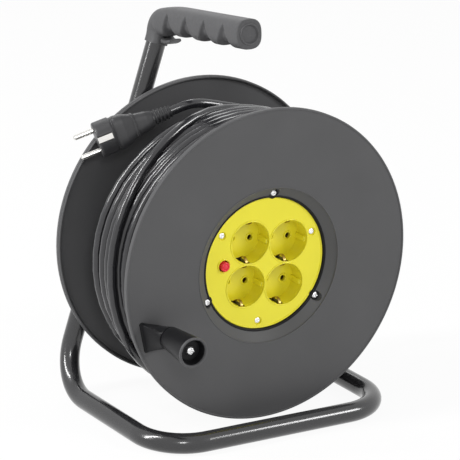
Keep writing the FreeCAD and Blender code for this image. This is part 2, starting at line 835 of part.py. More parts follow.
socket_plate = cut("plate_cut", rod("plate_disc", dim.plate_radius, PLATE_FACE, dim.plate_wall), plate_holes)
sub_part(on_drum(socket_plate), "socket_plate")
sub_part(on_drum(group("cup_set", cups)), "socket_cups")

plate_screws = [
    screw("plate_screw_%d" % number, 1.6, 3.1, 1.4, PLATE_FACE + 1.6, 16, x, z, 0.9)
    for number, (x, z) in enumerate(plate_screw_places)
]
sub_part(on_drum(group("plate_screw_set", plate_screws)), "plate_screws")

cover_ring = cut(
    "cover_ring",
    rod("cover_outside", dim.seat_radius - 1.6, LEDGE_BACK, COVER_FACE + COVER_WALL - LEDGE_BACK),
    [rod("cover_inside", dim.seat_radius - 3.6, LEDGE_BACK - 1, COVER_FACE - LEDGE_BACK + 1)],
)
posts = [
    cut(
        "post_%d" % number,
        rod("post_bar_%d" % number, 3.4, PLATE_BACK, COVER_FACE - PLATE_BACK + 1, x, z),
        [rod("post_hole_%d" % number, 1.6, PLATE_BACK - 1, 22, x, z)],
    )
    for number, (x, z) in enumerate(plate_screw_places)
]
cover_whole = fused("cover_whole", [cover_ring] + posts)
block_x, block_z = polar(38, dim.gland_angle)
wire_exit = rod("cover_wire_exit", 5, COVER_FACE - 1, 6, block_x, block_z)
sub_part(on_drum(cut("cover_cut", cover_whole, [wire_exit])), "socket_back_cover")


def contact_strip(name, side, deep):
    """A brass strip that joins one pole of the four sockets, with a tube contact for each pin."""
    bits = []
    for number, (x, z) in enumerate(socket_places):
        pin_x = x + side * dim.pin_pitch / 2
        tube = cut(
            "%s_tube_%d" % (name, number),
            rod("%s_tube_bar_%d" % (name, number), 3.6, SOCKET_BACK + 0.2, 18.3, pin_x, z),
            [rod("%s_tube_hole_%d" % (name, number), 2.5, SOCKET_BACK - 0.8, 18.3, pin_x, z)],
        )
        bits.append(tube)
    outer = side * 3.1 - 0.5
    low_z = -half_pitch - dim.grid_drop - 3
    row_z = side * 4 - dim.grid_drop
    for column in (-1, 1):
        column_x = dim.grid_shift + column * half_pitch + side * dim.pin_pitch / 2 + outer
        column_name = "%s_column_%d" % (name, column + 1)
        bits.append(block(column_name, 1, 5, dim.socket_pitch + 6, column_x, SOCKET_BACK + deep, low_z))
    row_x = dim.grid_shift - half_pitch + side * dim.pin_pitch / 2 + outer
    bits.append(block(name + "_row", dim.socket_pitch + 1, 5, 1, row_x, SOCKET_BACK + deep, row_z))
    return fused(name, bits)


sub_part(on_drum(contact_strip("live_strip_bits", 1, 12)), "live_contact_strip")
sub_part(on_drum(contact_strip("neutral_strip_bits", -1, 5)), "neutral_contact_strip")

earth_bits = []
for number, (x, z) in enumerate(socket_places):
    for side in (-1, 1):
        clip_z = z + side * (dim.socket_radius + 0.6) - 0.4
        earth_bits.append(
            block("earth_%d_%d" % (number, side + 1), dim.clip_width, dim.socket_depth - 0.5, 0.8,
                  x - dim.clip_width / 2, PLATE_FACE + 3.5, clip_z)
        )
    earth_bits.append(
        block("earth_bar_%d" % number, dim.clip_width, 1, 2 * dim.socket_radius + 2, x - dim.clip_width / 2,
              SOCKET_BACK + 0.2, z - dim.socket_radius - 1)
    )
earth_bits.append(
    block("earth_link", dim.socket_pitch, 1, 4, dim.grid_shift - half_pitch, SOCKET_BACK + 0.2, -dim.grid_drop - 2)
)
sub_part(on_drum(fused("earth_bits", earth_bits)), "earth_clips")

button_place = (-dim.button_offset, -dim.grid_drop)
cutout = cut(
    "cutout_cut",
    fused(
        "cutout_whole",
        [
            block("cutout_case", 12, 15, 22, -dim.button_offset - 7, PLATE_BACK + 2, -11 - dim.grid_drop),
            rod("cutout_neck", 5.9, PLATE_BACK, 3, *button_place),
        ],
    ),
    [rod("cutout_bore", dim.button_radius + 0.3, PLATE_BACK - 1, 9, *button_place)],
)
sub_part(on_drum(cutout), "thermal_cutout")

button_length = dim.button_reach + dim.plate_wall + 3
button_start = PLATE_FACE - dim.button_reach
button = fused(
    "button_whole",
    [
        rod("button_post", dim.button_radius, button_start + 0.8, button_length - 0.8, *button_place),
        cone("button_crown", dim.button_radius - 0.8, dim.button_radius, button_start, 0.8, *button_place),
    ],
)
sub_part(on_drum(button), "reset_button")


WIRE_RADIUS = 1.3
BLOCK_DEPTH = 12
gland_ray = math.radians(dim.gland_angle.value)
GLAND_OUT = Vector(math.cos(gland_ray), 0, math.sin(gland_ray))
GLAND_SIDE = GLAND_OUT.cross(Vector(0, 1, 0))
CORD_START = dim.core_radius - 8

terminal_holes = []
for step in (-1, 0, 1):
    offset = GLAND_SIDE * (2.8 * step)
    terminal_holes.append(
        rod("terminal_hole_%d" % (step + 1), WIRE_RADIUS, COVER_FACE - 7, 8, block_x + offset.x, block_z + offset.z))
terminal = cut(
    "terminal_cut",
    block("terminal_case", 18, BLOCK_DEPTH, 10, block_x - 9, COVER_FACE - BLOCK_DEPTH, block_z - 5),
    terminal_holes,
)
sub_part(on_drum(terminal), "terminal_block")


def core_wire(name, step):
    """One of three wires side by side, from the cord's end inside the core to the terminal block."""
    def at(radius, back):
        return GLAND_OUT * radius + GLAND_SIDE * (2.8 * step) + Vector(0, back, 0)

    behind = (COVER_FACE + COVER_WALL).value + 12
    points = [
        at(CORD_START.value, dim.gland_back.value),
        at(64.3, dim.gland_back.value),
        at(64.3, behind),
        at(38, behind),
        at(38, COVER_FACE.value - 6),
    ]
    return solid(name, swept(bent_run(points, [2.4, 8, 8]), WIRE_RADIUS))


for label, step in (("wire_live", -1), ("wire_earth", 0), ("wire_neutral", 1)):
    sub_part(on_drum(core_wire(label + "_run", step)), label)

# Gland in the core's wall, where the cord comes out.


def radial_rod(name, radius, start, length):
    """A cylinder that points outwards from the axle at the gland."""
    x, z = polar(as_size(start), dim.gland_angle)
    item = bind(doc.addObject("Part::Cylinder", name), Radius=radius, Height=length)
    return local(item, x, dim.gland_back, z, gland_turn)


gland = cut(
    "gland_cut",
    fused(
        "gland_whole",
        [
            radial_rod("gland_body", GLAND_HOLE - 0.1, dim.core_radius - 8, 11),
            radial_rod("gland_head", 8.6, dim.core_radius + 0.6, 2.4),
        ],
    ),
    [radial_rod("gland_bore", dim.cord_diameter / 2, dim.core_radius - 10, 20)],
)
sub_part(on_drum(gland), "cord_gland")
gland_nut = cut(
    "gland_nut_cut",
    radial_rod("gland_nut_disc", 8.6, dim.core_radius - dim.core_wall - 3.8, 3),
    [radial_rod("gland_nut_bore", GLAND_HOLE - 0.1, dim.core_radius - dim.core_wall - 6, 8)],
)
sub_part(on_drum(gland_nut), "gland_nut")

# Crank: a square-footed stem on the front flange that narrows to a round neck, a turning knob and its shoulder screw.

STEM_TURN = -8
crank_x, crank_z = polar(dim.crank_circle, dim.crank_angle)


def square_taper(name, neck, foot, start, length, x, z, angle):
    """A square post along +Y that widens from half-width neck to half-width foot, turned about its own axis."""
    item = bind(doc.addObject("Part::Wedge", name), Ymin=0, Ymax=length, X2min=-foot, X2max=foot, Z2min=-foot,
                Z2max=foot, Xmin=-neck, Xmax=neck, Zmin=-neck, Zmax=neck)
    return local(item, x, start, z, Rotation(Vector(0, 1, 0), -angle))


def square_foot(name, neck, foot, neck_corner, foot_corner, start, length):
    """A square taper whose corners are rounded by a cone."""
    item = doc.addObject("Part::Common", name)
    item.Base = square_taper(name + "_square", neck, foot, start, length, crank_x, crank_z,
                             (dim.crank_angle + STEM_TURN).value)
    item.Tool = cone(name + "_round", neck_corner, foot_corner, start, length, crank_x, crank_z)
    return item


stem = cut(
    "stem_cut",
    fused(
        "stem_whole",
        [
            square_foot("stem_post", dim.stem_neck, dim.stem_base, dim.stem_neck, dim.stem_corner,
                        FRONT_FACE - dim.stem_length, dim.stem_length),
            square_foot("stem_foot", dim.stem_base + 0.5, dim.stem_base + 0.5, dim.stem_corner + 0.5,
                        dim.stem_corner + 0.5, FRONT_FACE - 1.5, 1.5),
        ],
    ),
    [rod("stem_hole", 3.5, FRONT_FACE - dim.stem_length - 1, 17, crank_x, crank_z)],
)
sub_part(on_drum(stem), "crank_stem")

KNOB_POCKET = 9
knob_waist = cone("knob_waist", dim.knob_radius - 1.5, dim.stem_neck, KNOB_FRONT + 20, dim.knob_length - 20,
                  crank_x, crank_z)
knob_head = cone("knob_head", dim.knob_radius, dim.knob_radius - 1.5, KNOB_FRONT, 20, crank_x, crank_z)
knob = cut(
    "knob_cut",
    fused("knob_whole", [knob_waist, knob_head]),
    [
        rod("knob_pocket", dim.knob_radius - 3, KNOB_FRONT - 1, KNOB_POCKET + 1, crank_x, crank_z),
        rod("knob_bore", 3.5 + 0.05, KNOB_FRONT, dim.knob_length + 1, crank_x, crank_z),
    ],
)
sub_part(on_drum(knob), "crank_knob")

KNOB_SEAT = KNOB_FRONT + KNOB_POCKET - KNOB_GAP
crank_screw = cut(
    "crank_screw_cut",
    fused(
        "crank_screw_whole",
        [
            rod("crank_screw_shank", 3.5, KNOB_SEAT - 1, 15 + KNOB_BACK - KNOB_SEAT, crank_x, crank_z),
            rod("crank_screw_head", 6.2, KNOB_SEAT - 5, 4, crank_x, crank_z),
        ],
    ),
    [block("crank_screw_row", 1.6, 2.4, 9, crank_x - 0.8, KNOB_SEAT - 6, crank_z - 4.5),
     block("crank_screw_row_b", 9, 2.4, 1.6, crank_x - 4.5, KNOB_SEAT - 6, crank_z - 0.8)],
)
sub_part(on_drum(crank_screw), "crank_screw")
knob_washer = cut(
    "knob_washer_cut",
    rod("knob_washer_disc", 8, KNOB_SEAT - 1, 1, crank_x, crank_z),
    [rod("knob_washer_hole", 3.5, KNOB_SEAT - 2, 3, crank_x, crank_z)],
)
sub_part(on_drum(knob_washer), "knob_washer")

# Cord: from the gland up through the inner layers, round the outer layer and off to the plug.


plug_turn = math.radians(dim.plug_heading.value)
plug_lean = math.radians(dim.plug_tilt.value)
PLUG_AXIS = Vector(math.cos(plug_turn) * math.cos(plug_lean), math.sin(plug_lean),
                   math.sin(plug_turn) * math.cos(plug_lean))


def around(radius, angle, back):
    turn = math.radians(angle)
    return Vector(radius * math.cos(turn), back, radius * math.sin(turn))


def layer_station(step):
    """Angle, radius and place along the axle of the outer layer, wound a little unevenly."""
    share = step / STATIONS
    first_angle = dim.gland_angle.value + 80
    last_angle = dim.plug_tail_angle.value - 34 + 360 * TURNS
    angle = first_angle + (last_angle - first_angle) * share
    radius = dim.layer_radius.value + 0.25 * math.sin(2.3 * step) - 2.2 * max(0, share - 0.9) / 0.1
    start, end = dim.layer_start.value, dim.layer_end.value
    back = start + (end - start) * share + 0.25 * math.sin(1.7 * step)
    return angle, radius, back


def layer_way(before, after):
    """Direction of travel at a station, from its neighbours' radius and place."""
    angle = math.radians((before[0] + after[0]) / 2)
    spread = math.radians(after[0] - before[0])
    radius = (before[1] + after[1]) / 2
    outward = (after[1] - before[1]) / spread
    along = (after[2] - before[2]) / spread
    way = Vector(
        outward * math.cos(angle) - radius * math.sin(angle),
        along,
        outward * math.sin(angle) + radius * math.cos(angle),
    )
    return way.normalize()


def cord_edges():
    """The cord's centre line as edges, from its end in the core to the plug's tail, and its radii."""
    diameter = dim.cord_diameter.value
    turn = dim.gland_angle.value
    inner_end = around(CORD_START.value, turn, dim.gland_back.value)
    riser = around(84, turn, dim.gland_back.value)
    aside = around(1, turn + 90, 0)
    eased = riser + around(26, turn, -6) + aside * 26
    knots = [(riser, (riser - inner_end).normalize()), (eased, (aside - Vector(0, 0.07, 0)).normalize())]
    stations = [layer_station(step) for step in range(-1, STATIONS + 2)]
    for index in range(1, len(stations) - 1):
        angle, radius, back = stations[index]
        knots.append((around(radius, angle, back), layer_way(stations[index - 1], stations[index + 1])))
    tail = around(dim.plug_tail_radius.value, dim.plug_tail_angle.value, dim.plug_back.value)
    before_plug = tail - PLUG_AXIS * diameter
    knots.append((before_plug, PLUG_AXIS))
    edges = [Part.LineSegment(inner_end, riser).toShape()]
    radii = []
    for (start, start_way), (end, end_way) in zip(knots, knots[1:]):
        pair, pair_radii = arc_pair(start, start_way, end, end_way)
        edges += pair
        radii += pair_radii
    edges.append(Part.LineSegment(before_plug, tail).toShape())
    return edges, radii


def least_gap(edges, diameter):
    """The smallest gap between stretches of cord that are more than a half turn apart."""
    points = []
    travelled = 0.0
    for edge in edges:
        count = max(2, int(edge.Length / 9))
        for index in range(count):
            at = edge.FirstParameter + (edge.LastParameter - edge.FirstParameter) * index / count
            points.append((travelled + edge.Length * index / count, edge.valueAt(at)))
        travelled += edge.Length
    least = 1e9
    for index, (here, place) in enumerate(points):
        for there, other in points[index + 1:]:
            if there - here > 300:
                least = min(least, place.distanceToPoint(other))
    return least - diameter


cord_path, cord_radii = cord_edges()
cord_diameter = dim.cord_diameter.value
cord_shape = swept(cord_path, cord_diameter / 2)
cord_length = sum(edge.Length for edge in cord_path)
print("cord tube: length %.0f mm, tightest radius %.1f mm, least gap to itself %.2f mm" % (
    cord_length, min(r for r in cord_radii if r), least_gap(cord_path, cord_diameter)))
print("cord tube: volume %.0f of section times length %.0f" % (
    cord_shape.Volume, math.pi * cord_diameter ** 2 / 4 * cord_length))
sub_part(on_drum(solid("cord_winding_tube", cord_shape)), "cord_winding")

INNER_GAP = 0.4
inner_outside = dim.layer_radius.value - cord_diameter / 2 - INNER_GAP
inner_start = FRONT_INNER.value
inner_end = dim.layer_end.value + 8
inner_ring = Part.makeCylinder(inner_outside, inner_end - inner_start, Vector(0, inner_start, 0), Vector(0, 1, 0))
inner_ring = inner_ring.cut(
    Part.makeCylinder(dim.core_radius.value, 200, Vector(0, -100, 0), Vector(0, 1, 0)))
slot = swept(cord_path[:6], cord_diameter / 2 + 0.5)
tail_room = swept(cord_path[-9:], cord_diameter / 2 + 0.5)
gland_room = Part.makeCylinder(
    9, 6, around(dim.core_radius.value - 1, dim.gland_angle.value, dim.gland_back.value),
    around(1, dim.gland_angle.value, 0))
inner_layers = inner_ring.cut(slot).cut(tail_room).cut(gland_room)
shared = cord_shape.common(inner_layers)
print("cord tube and inner layers share %.0f mm3" % shared.Volume)
for piece in shared.Solids:
    print("  %.0f mm3 in %s" % (piece.Volume, piece.BoundBox))
sub_part(on_drum(solid("cord_inner_ring", inner_layers)), "cord_inner_layers")

# Plug: built about its own axis, tail at the origin, pins towards +Z, then laid in its place.

plug_front = (Vector(0, -1, 0) + PLUG_AXIS * PLUG_AXIS.y).normalize()
plug_rotation = Rotation(plug_front.cross(PLUG_AXIS), plug_front, PLUG_AXIS, "ZXY")
plug_rotation = plug_rotation.multiply(Rotation(Vector(0, 0, 1), dim.plug_roll.value))
plug_tail = around(dim.plug_tail_radius.value, dim.plug_tail_angle.value, dim.plug_back.value)
drum_place = Placement(Vector(0, DRUM_Y.value, dim.axle_height.value), Rotation(Vector(0, 1, 0), dim.drum_turn.value))


def on_plug(item):
    """Lays a piece of the plug in its place on the drum."""
    item.Placement = drum_place.multiply(Placement(plug_tail, plug_rotation))
    return item


def upright(name, radius, start, length, x=0, y=0):
    item = bind(doc.addObject("Part::Cylinder", name), Radius=radius, Height=length)
    return local(item, x, y, start)


def upright_cone(name, first, last, start, length):
    item = bind(doc.addObject("Part::Cone", name), Radius1=first, Radius2=last, Height=length)
    return local(item, 0, 0, start)


RELIEF = 20
BODY_END = 38
HEAD_START = dim.plug_length - 15
head = upright("plug_head_disc", dim.plug_head, HEAD_START, 15)
wings = block("plug_wings", 37, 25, HEAD_START - BODY_END + 2, -18.5, -12.5, BODY_END)
wing_trim = doc.addObject("Part::Common", "plug_wings_round")
wing_trim.Base = wings
wing_trim.Tool = upright_cone("plug_wing_taper", 14, 21, BODY_END - 1, HEAD_START - BODY_END + 6)
plug_bits = [
    upright_cone("plug_back", 9, 13, RELIEF, BODY_END - RELIEF + 1),
    wing_trim,
    head,
]
pin_places = [(side * dim.pin_pitch / 2, 0) for side in (-1, 1)]
PIN_RADIUS = 2.4
PIN_ROOT = 2
plug_cuts = [
    upright("plug_pin_hole_%d" % number, PIN_ROOT, dim.plug_length - 12, 14, x, y)
    for number, (x, y) in enumerate(pin_places)
]
for side in (-1, 1):
    notch_y = side * (dim.plug_head - 1.5) - 1.8
    plug_cuts.append(
        block("plug_notch_%d" % (side + 1), 6.4, 3.6, 16, -3.2, notch_y, HEAD_START + 1))
plug_body = cut("plug_cut", fused("plug_whole", plug_bits), plug_cuts)
sub_part(on_plug(plug_body), "plug_body")

pins = []
for number, (x, y) in enumerate(pin_places):
    root = upright("pin_root_%d" % number, PIN_ROOT, dim.plug_length - 12, 12.6, x, y)
    shank = upright("pin_%d" % number, PIN_RADIUS, dim.plug_length + 0.4, 17.1, x, y)
    tip = local(
        bind(doc.addObject("Part::Cone", "pin_tip_%d" % number), Radius1=PIN_RADIUS, Radius2=1.2, Height=1.5),
        x, y, dim.plug_length + 17.5)
    pins.append(fused("pin_whole_%d" % number, [root, shank, tip]))
sub_part(on_plug(group("pin_pair", pins)), "plug_pins")

strips = []
for side in (-1, 1):
    strip_y = side * (dim.plug_head - 2.2) - 0.6
    strips.append(block("strip_%d" % (side + 1), 5, 1.2, 14, -2.5, strip_y, HEAD_START + 1))
sub_part(on_plug(group("strip_pair", strips)), "plug_earth_strips")

relief_bits = [upright_cone("relief_core", 5.4, 6.8, 0, RELIEF)]
for number in range(5):
    relief_bits.append(upright("relief_rib_%d" % number, 6.6 + 0.3 * number, 1 + 3.9 * number, 2.2))
sub_part(on_plug(fused("relief_whole", relief_bits)), "plug_strain_relief")

doc.recompute()
for item in doc.Objects:
    if "Invalid" in item.State or "Error" in item.State:
        raise RuntimeError("%s failed: %s" % (item.Name, item.State))
os.makedirs("parts", exist_ok=True)
for item in finished:
    shape = item.Shape
    if shape.isNull() or not shape.isValid():
        raise RuntimeError(item.Label + " has no valid shape")
    shape.exportStep("parts/%s.step" % item.Label)
    print("%-24s %2d solid(s) %10.0f mm3" % (item.Label, len(shape.Solids), shape.Volume))
print("%d sub-parts" % len(finished))
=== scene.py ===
"""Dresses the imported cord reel: studio, wound cord and plug, grip, crank, socket details and finishes."""

from __future__ import annotations

import json
import logging
import math
from dataclasses import dataclass
from enum import Enum
from typing import Any, Callable, Sequence

import bmesh
import bpy
import numpy as np
from mathutils import Matrix, Vector

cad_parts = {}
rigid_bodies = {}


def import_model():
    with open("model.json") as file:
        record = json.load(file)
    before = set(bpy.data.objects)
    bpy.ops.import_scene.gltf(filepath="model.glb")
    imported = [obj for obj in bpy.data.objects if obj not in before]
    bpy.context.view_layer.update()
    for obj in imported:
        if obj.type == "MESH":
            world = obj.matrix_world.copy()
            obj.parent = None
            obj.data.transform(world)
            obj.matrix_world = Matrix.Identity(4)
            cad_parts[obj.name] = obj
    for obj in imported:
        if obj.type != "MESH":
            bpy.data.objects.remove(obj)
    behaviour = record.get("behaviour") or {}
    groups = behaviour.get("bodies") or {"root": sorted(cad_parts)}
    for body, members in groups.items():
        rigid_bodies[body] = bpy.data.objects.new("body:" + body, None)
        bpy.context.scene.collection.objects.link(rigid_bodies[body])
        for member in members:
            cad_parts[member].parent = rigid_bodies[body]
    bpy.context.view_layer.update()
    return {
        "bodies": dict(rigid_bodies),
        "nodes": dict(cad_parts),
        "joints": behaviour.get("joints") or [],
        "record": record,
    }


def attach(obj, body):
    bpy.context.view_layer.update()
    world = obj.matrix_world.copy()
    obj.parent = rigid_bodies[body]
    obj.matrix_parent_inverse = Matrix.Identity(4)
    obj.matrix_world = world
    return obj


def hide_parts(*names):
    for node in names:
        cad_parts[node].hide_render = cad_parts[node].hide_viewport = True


log = logging.getLogger("cord_reel")

Array = np.ndarray
Numbers = np.ndarray | float
Colour = tuple[float, float, float]
Point = tuple[float, float, float]
Spot = tuple[float, float]

MM = 0.001
SAME_PLACE = 1e-6
HAIR = 0.01
CORNER_SHARE = 0.45
AXLE = np.array([0.0, 16.1, 152.8])
DRUM_TURN = math.radians(5.0)


class Body(Enum):
    """The reel's rigid bodies, by their names in the record."""

    STAND = "stand"
    DRUM = "drum"
    KNOB = "knob"
    BUTTON = "button"


def on_drum(points: Array) -> Array:
    """Turns points in the drum's own frame about the axle and gives them in the row frame.

    Args:
        points: array of (..., 3) in millimetres, origin at the drum's middle.

    Returns:
        The same array in metres, x' = x cos t + z sin t and z' = z cos t - x sin t, then moved to the axle.
    """
    x, y, z = np.moveaxis(np.asarray(points, float), -1, 0)
    cos, sin = math.cos(DRUM_TURN), math.sin(DRUM_TURN)
    return (np.stack([x * cos + z * sin, y, z * cos - x * sin], -1) + AXLE) * MM


def on_stand(points: Array) -> Array:
    """Gives points measured from the drum's middle, which don't turn with it, in the row frame, in metres."""
    return (np.asarray(points, float) + AXLE) * MM


PLACES: dict[Body, Callable[[Array], Array]] = {
    Body.STAND: on_stand,
    Body.DRUM: on_drum,
    Body.KNOB: on_drum,
    Body.BUTTON: on_drum,
}


def unit(vectors: Array) -> Array:
    """Scales vectors along the last axis to length one."""
    return vectors / np.linalg.norm(vectors, axis=-1, keepdims=True)


def full_turn(count: int) -> Array:
    """Angles in radians, evenly spaced round one turn, the first at 0."""
    return np.linspace(0, 2 * math.pi, count, endpoint=False)


def about(centre: Spot, radius: Numbers, y: Numbers, angle: Numbers) -> Array:
    """Points about an axis along Y.

    Args:
        centre: the axis's x and z.
        radius: distances from the axis.
        y: places along the axis.
        angle: angles in radians, in any shape that fits the others.

    Returns:
        The points as (..., 3): x + r cos a, y, z + r sin a.
    """
    x, z = centre[0] + radius * np.cos(angle), centre[1] + radius * np.sin(angle)
    return np.stack(np.broadcast_arrays(x, y, z), -1)


def about_axle(degrees: Numbers, radius: Numbers, back: Numbers) -> Array:
    """Points in the drum's own frame at angles in degrees and distances from the axle."""
    return about((0.0, 0.0), radius, back, np.radians(degrees))


def set_along_y(flat: Array, centre: Spot, y: Array) -> Array:
    """Sets flat sections along Y.

    Args:
        flat: (rows, columns, 2) of sideways and upwards.
        centre: the x and z that the sections lie round.
        y: each row's place.

    Returns:
        The points as (rows, columns, 3).
    """
    depth = np.broadcast_to(y[:, None], flat.shape[:2])
    return np.stack([centre[0] + flat[..., 0], depth, centre[1] + flat[..., 1]], -1)


def added(name: str, data: bpy.types.ID) -> bpy.types.Object:
    """Makes an object of its data and links it to the scene.

    Args:
        name: the object's name.
        data: its mesh, curve, camera or light.

    Returns:
        The object.
    """
    made = bpy.data.objects.new(name, data)
    bpy.context.scene.collection.objects.link(made)
    return made


def parabola(start: Array, knee: Array, end: Array, steps: int) -> Array:
    """Draws parabolas that leave their start towards a knee and reach their end from it.

    Args:
        start: where each begins, with its coordinates on the last axis.
        knee: the knees, in the same shape.
        end: the ends, in the same shape.
        steps: points on each, set by t from 0 to 1.

    Returns:
        (1 - t)^2 start + 2 t (1 - t) knee + t^2 end, with the points on the second last axis.
    """
    t = np.linspace(0, 1, steps)[:, None]
    first, middle, last = (corner[..., None, :] for corner in (start, knee, end))
    return (1 - t) ** 2 * first + 2 * t * (1 - t) * middle + t**2 * last


def eased(corners: Sequence[Spot], radius: float, steps: int) -> Array:
    """Rounds every corner of a closed outline.

    Each corner gives way to a parabola between the two points that lie radius away from it, or CORNER_SHARE
    of the shorter side where that is less.

    Args:
        corners: the outline's corners in order.
        radius: how far from the corner the rounding starts.
        steps: points on each rounding.

    Returns:
        The rounded outline as an array of (n, 2).
    """
    here = np.array(corners, float)
    back, ahead = np.roll(here, 1, 0) - here, np.roll(here, -1, 0) - here
    sides = np.linalg.norm(back, axis=1, keepdims=True), np.linalg.norm(ahead, axis=1, keepdims=True)
    reach = np.minimum(radius, CORNER_SHARE * np.minimum(*sides))
    start, end = here + back / sides[0] * reach, here + ahead / sides[1] * reach
    return parabola(start, here, end, steps).reshape(-1, 2)


def skin(
    name: str,
    grid: Array,
    body: Body,
    along: bool = False,
    capped: bool = False,
    crease: float = 35.0,
) -> bpy.types.Object:
    """Makes a mesh of quads over a grid of points, each row a closed ring, and lets it ride on a body.

    Args:
        name: the piece's name.
        grid: points of (rows, columns, 3) in millimetres, in the body's own frame.
        body: the body that it rides on.
        along: whether the last row meets the first.
        capped: whether the first and last rows are closed with a face.
        crease: edges sharper than this, in degrees, stay sharp.

    Returns:
        The new object, at the origin, with its place in its mesh.
    """
    rows, columns = grid.shape[:2]
    index = np.arange(rows * columns).reshape(rows, columns)
    net = np.vstack([index, index[:1]]) if along else index
    net = np.hstack([net, net[:, :1]])
    faces = np.stack([net[:-1, :-1], net[1:, :-1], net[1:, 1:], net[:-1, 1:]], -1).reshape(-1, 4).tolist()
    if capped:
        faces += [index[0].tolist(), index[-1][::-1].tolist()]
    mesh = bpy.data.meshes.new(name)
    mesh.from_pydata(PLACES[body](grid.reshape(-1, 3)).tolist(), [], faces)
    shell = bmesh.new()
    shell.from_mesh(mesh)
    bmesh.ops.remove_doubles(shell, verts=shell.verts, dist=SAME_PLACE)
    bmesh.ops.recalc_face_normals(shell, faces=shell.faces)
    shell.to_mesh(mesh)
    shell.free()
    mesh.polygons.foreach_set("use_smooth", np.ones(len(mesh.polygons), bool))
    mesh.set_sharp_from_angle(angle=math.radians(crease))
    piece = added(name, mesh)
    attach(piece, body.value)
    return piece


def turned(
    name: str,
    outline: Array,
    body: Body,
    centre: Spot = (0.0, 0.0),
    segments: int = 96,
    crease: float = 35.0,
) -> bpy.types.Object:
    """Turns a closed outline of (radius, place along Y) about an axis that runs along Y.

    Args:
        name: the piece's name.
        outline: array of (n, 2), each point carried round the axis as about does.
        body: the body that it rides on.
        centre: the axis's x and z.
        segments: points round the axis.
        crease: edges sharper than this, in degrees, stay sharp.

    Returns:
        The new object.
    """
    grid = about(centre, outline[None, :, 0], outline[None, :, 1], full_turn(segments)[:, None])
    return skin(name, grid, body, along=True, crease=crease)


def gathered(name: str, pieces: Sequence[bpy.types.Object], body: Body) -> bpy.types.Object:
    """Joins finished pieces of one finish into one object.

    Args:
        name: the joined piece's name.
        pieces: the objects to join, which are removed.
        body: the body that the result rides on.

    Returns:
        The joined object.
    """
    whole = bmesh.new()
    for piece in pieces:
        whole.from_mesh(piece.data)
    mesh = bpy.data.meshes.new(name)
    whole.to_mesh(mesh)
    whole.free()
    for piece in pieces:
        old = piece.data
        bpy.data.objects.remove(piece)
        bpy.data.meshes.remove(old)
    joined = added(name, mesh)
    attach(joined, body.value)
    return joined


def run_lengths(path: Array) -> Array:
    """How far along a path each of its points lies, from 0."""
    return np.concatenate([[0.0], np.cumsum(np.linalg.norm(np.diff(path, axis=0), axis=1))])


def swept(
    name: str,
    path: Array,
    outline: Callable[[Array, Array], Array],
    body: Body,
    up: Array,
    sides: int,
    crease: float = 35.0,
) -> bpy.types.Object:
    """Carries a section that may change along a path.

    Args:
        name: the piece's name.
        path: points of (n, 3) in millimetres.
        outline: gives (sideways, upwards) in millimetres for arrays of the way travelled and the angle.
        body: the body that it rides on.
        up: the direction that the section's upward side leans to, never along the path.
        sides: points round the section.
        crease: edges sharper than this, in degrees, stay sharp.

    Returns:
        The new object, closed at both ends.
    """
    way = unit(np.gradient(path, axis=0))
    side = unit(np.cross(way, up))
    upward = np.cross(side, way)
    section = outline(run_lengths(path)[:, None], full_turn(sides)[None, :])
    grid = path[:, None] + side[:, None] * section[..., :1] + upward[:, None] * section[..., 1:]
    return skin(name, grid, body, capped=True, crease=crease)


def superellipse(angle: Array, half_width: Numbers, half_height: Numbers, power: Numbers) -> Array:
    """Draws a rounded rectangle: sideways = a sgn(cos)|cos|^(2/n), upwards = b sgn(sin)|sin|^(2/n).

    Args:
        angle: angles round the section, in radians.
        half_width: a, half the width.
        half_height: b, half the height.
        power: n, 2 for an ellipse and more for a squarer shape.

    Returns:
        An array of (..., 2).
    """
    cos, sin = np.cos(angle), np.sin(angle)
    across = half_width * np.sign(cos) * np.abs(cos) ** (2 / power)
    rise = half_height * np.sign(sin) * np.abs(sin) ** (2 / power)
    return np.stack(np.broadcast_arrays(across, rise), -1)


def softened(corners: Sequence[Array], reach: Sequence[float], steps: int) -> Array:
    """Joins straight runs by parabolas.

    Args:
        corners: the path's points of (3,), first and last included.
        reach: how far from each inner point its parabola starts.
        steps: points on each parabola.

    Returns:
        The path as an array of (n, 3).
    """
    points = np.array(corners, float)
    ways = unit(np.diff(points, axis=0))
    pieces = [
        parabola(inner - way * length, inner, inner + leave * length, steps)
        for inner, way, leave, length in zip(points[1:-1], ways, ways[1:], reach)
    ]
    return np.vstack([points[:1], *pieces, points[-1:]])


def spaced(path: Array, step: float) -> Array:
    """Sets points evenly along a path.

    Args:
        path: points of (n, 3).
        step: about how far apart the new points lie.

    Returns:
        The new points as an array of (m, 3).
    """
    travelled = run_lengths(path)
    wanted = np.linspace(0, travelled[-1], max(2, round(travelled[-1] / step)))
    return np.stack([np.interp(wanted, travelled, path[:, axis]) for axis in range(3)], -1)


def smooth(value: Numbers) -> Numbers:
    """Eases from 0 to 1: 3v^2 - 2v^3 of the value held between 0 and 1."""
    held = np.clip(value, 0.0, 1.0)
    return held * held * (3 - 2 * held)


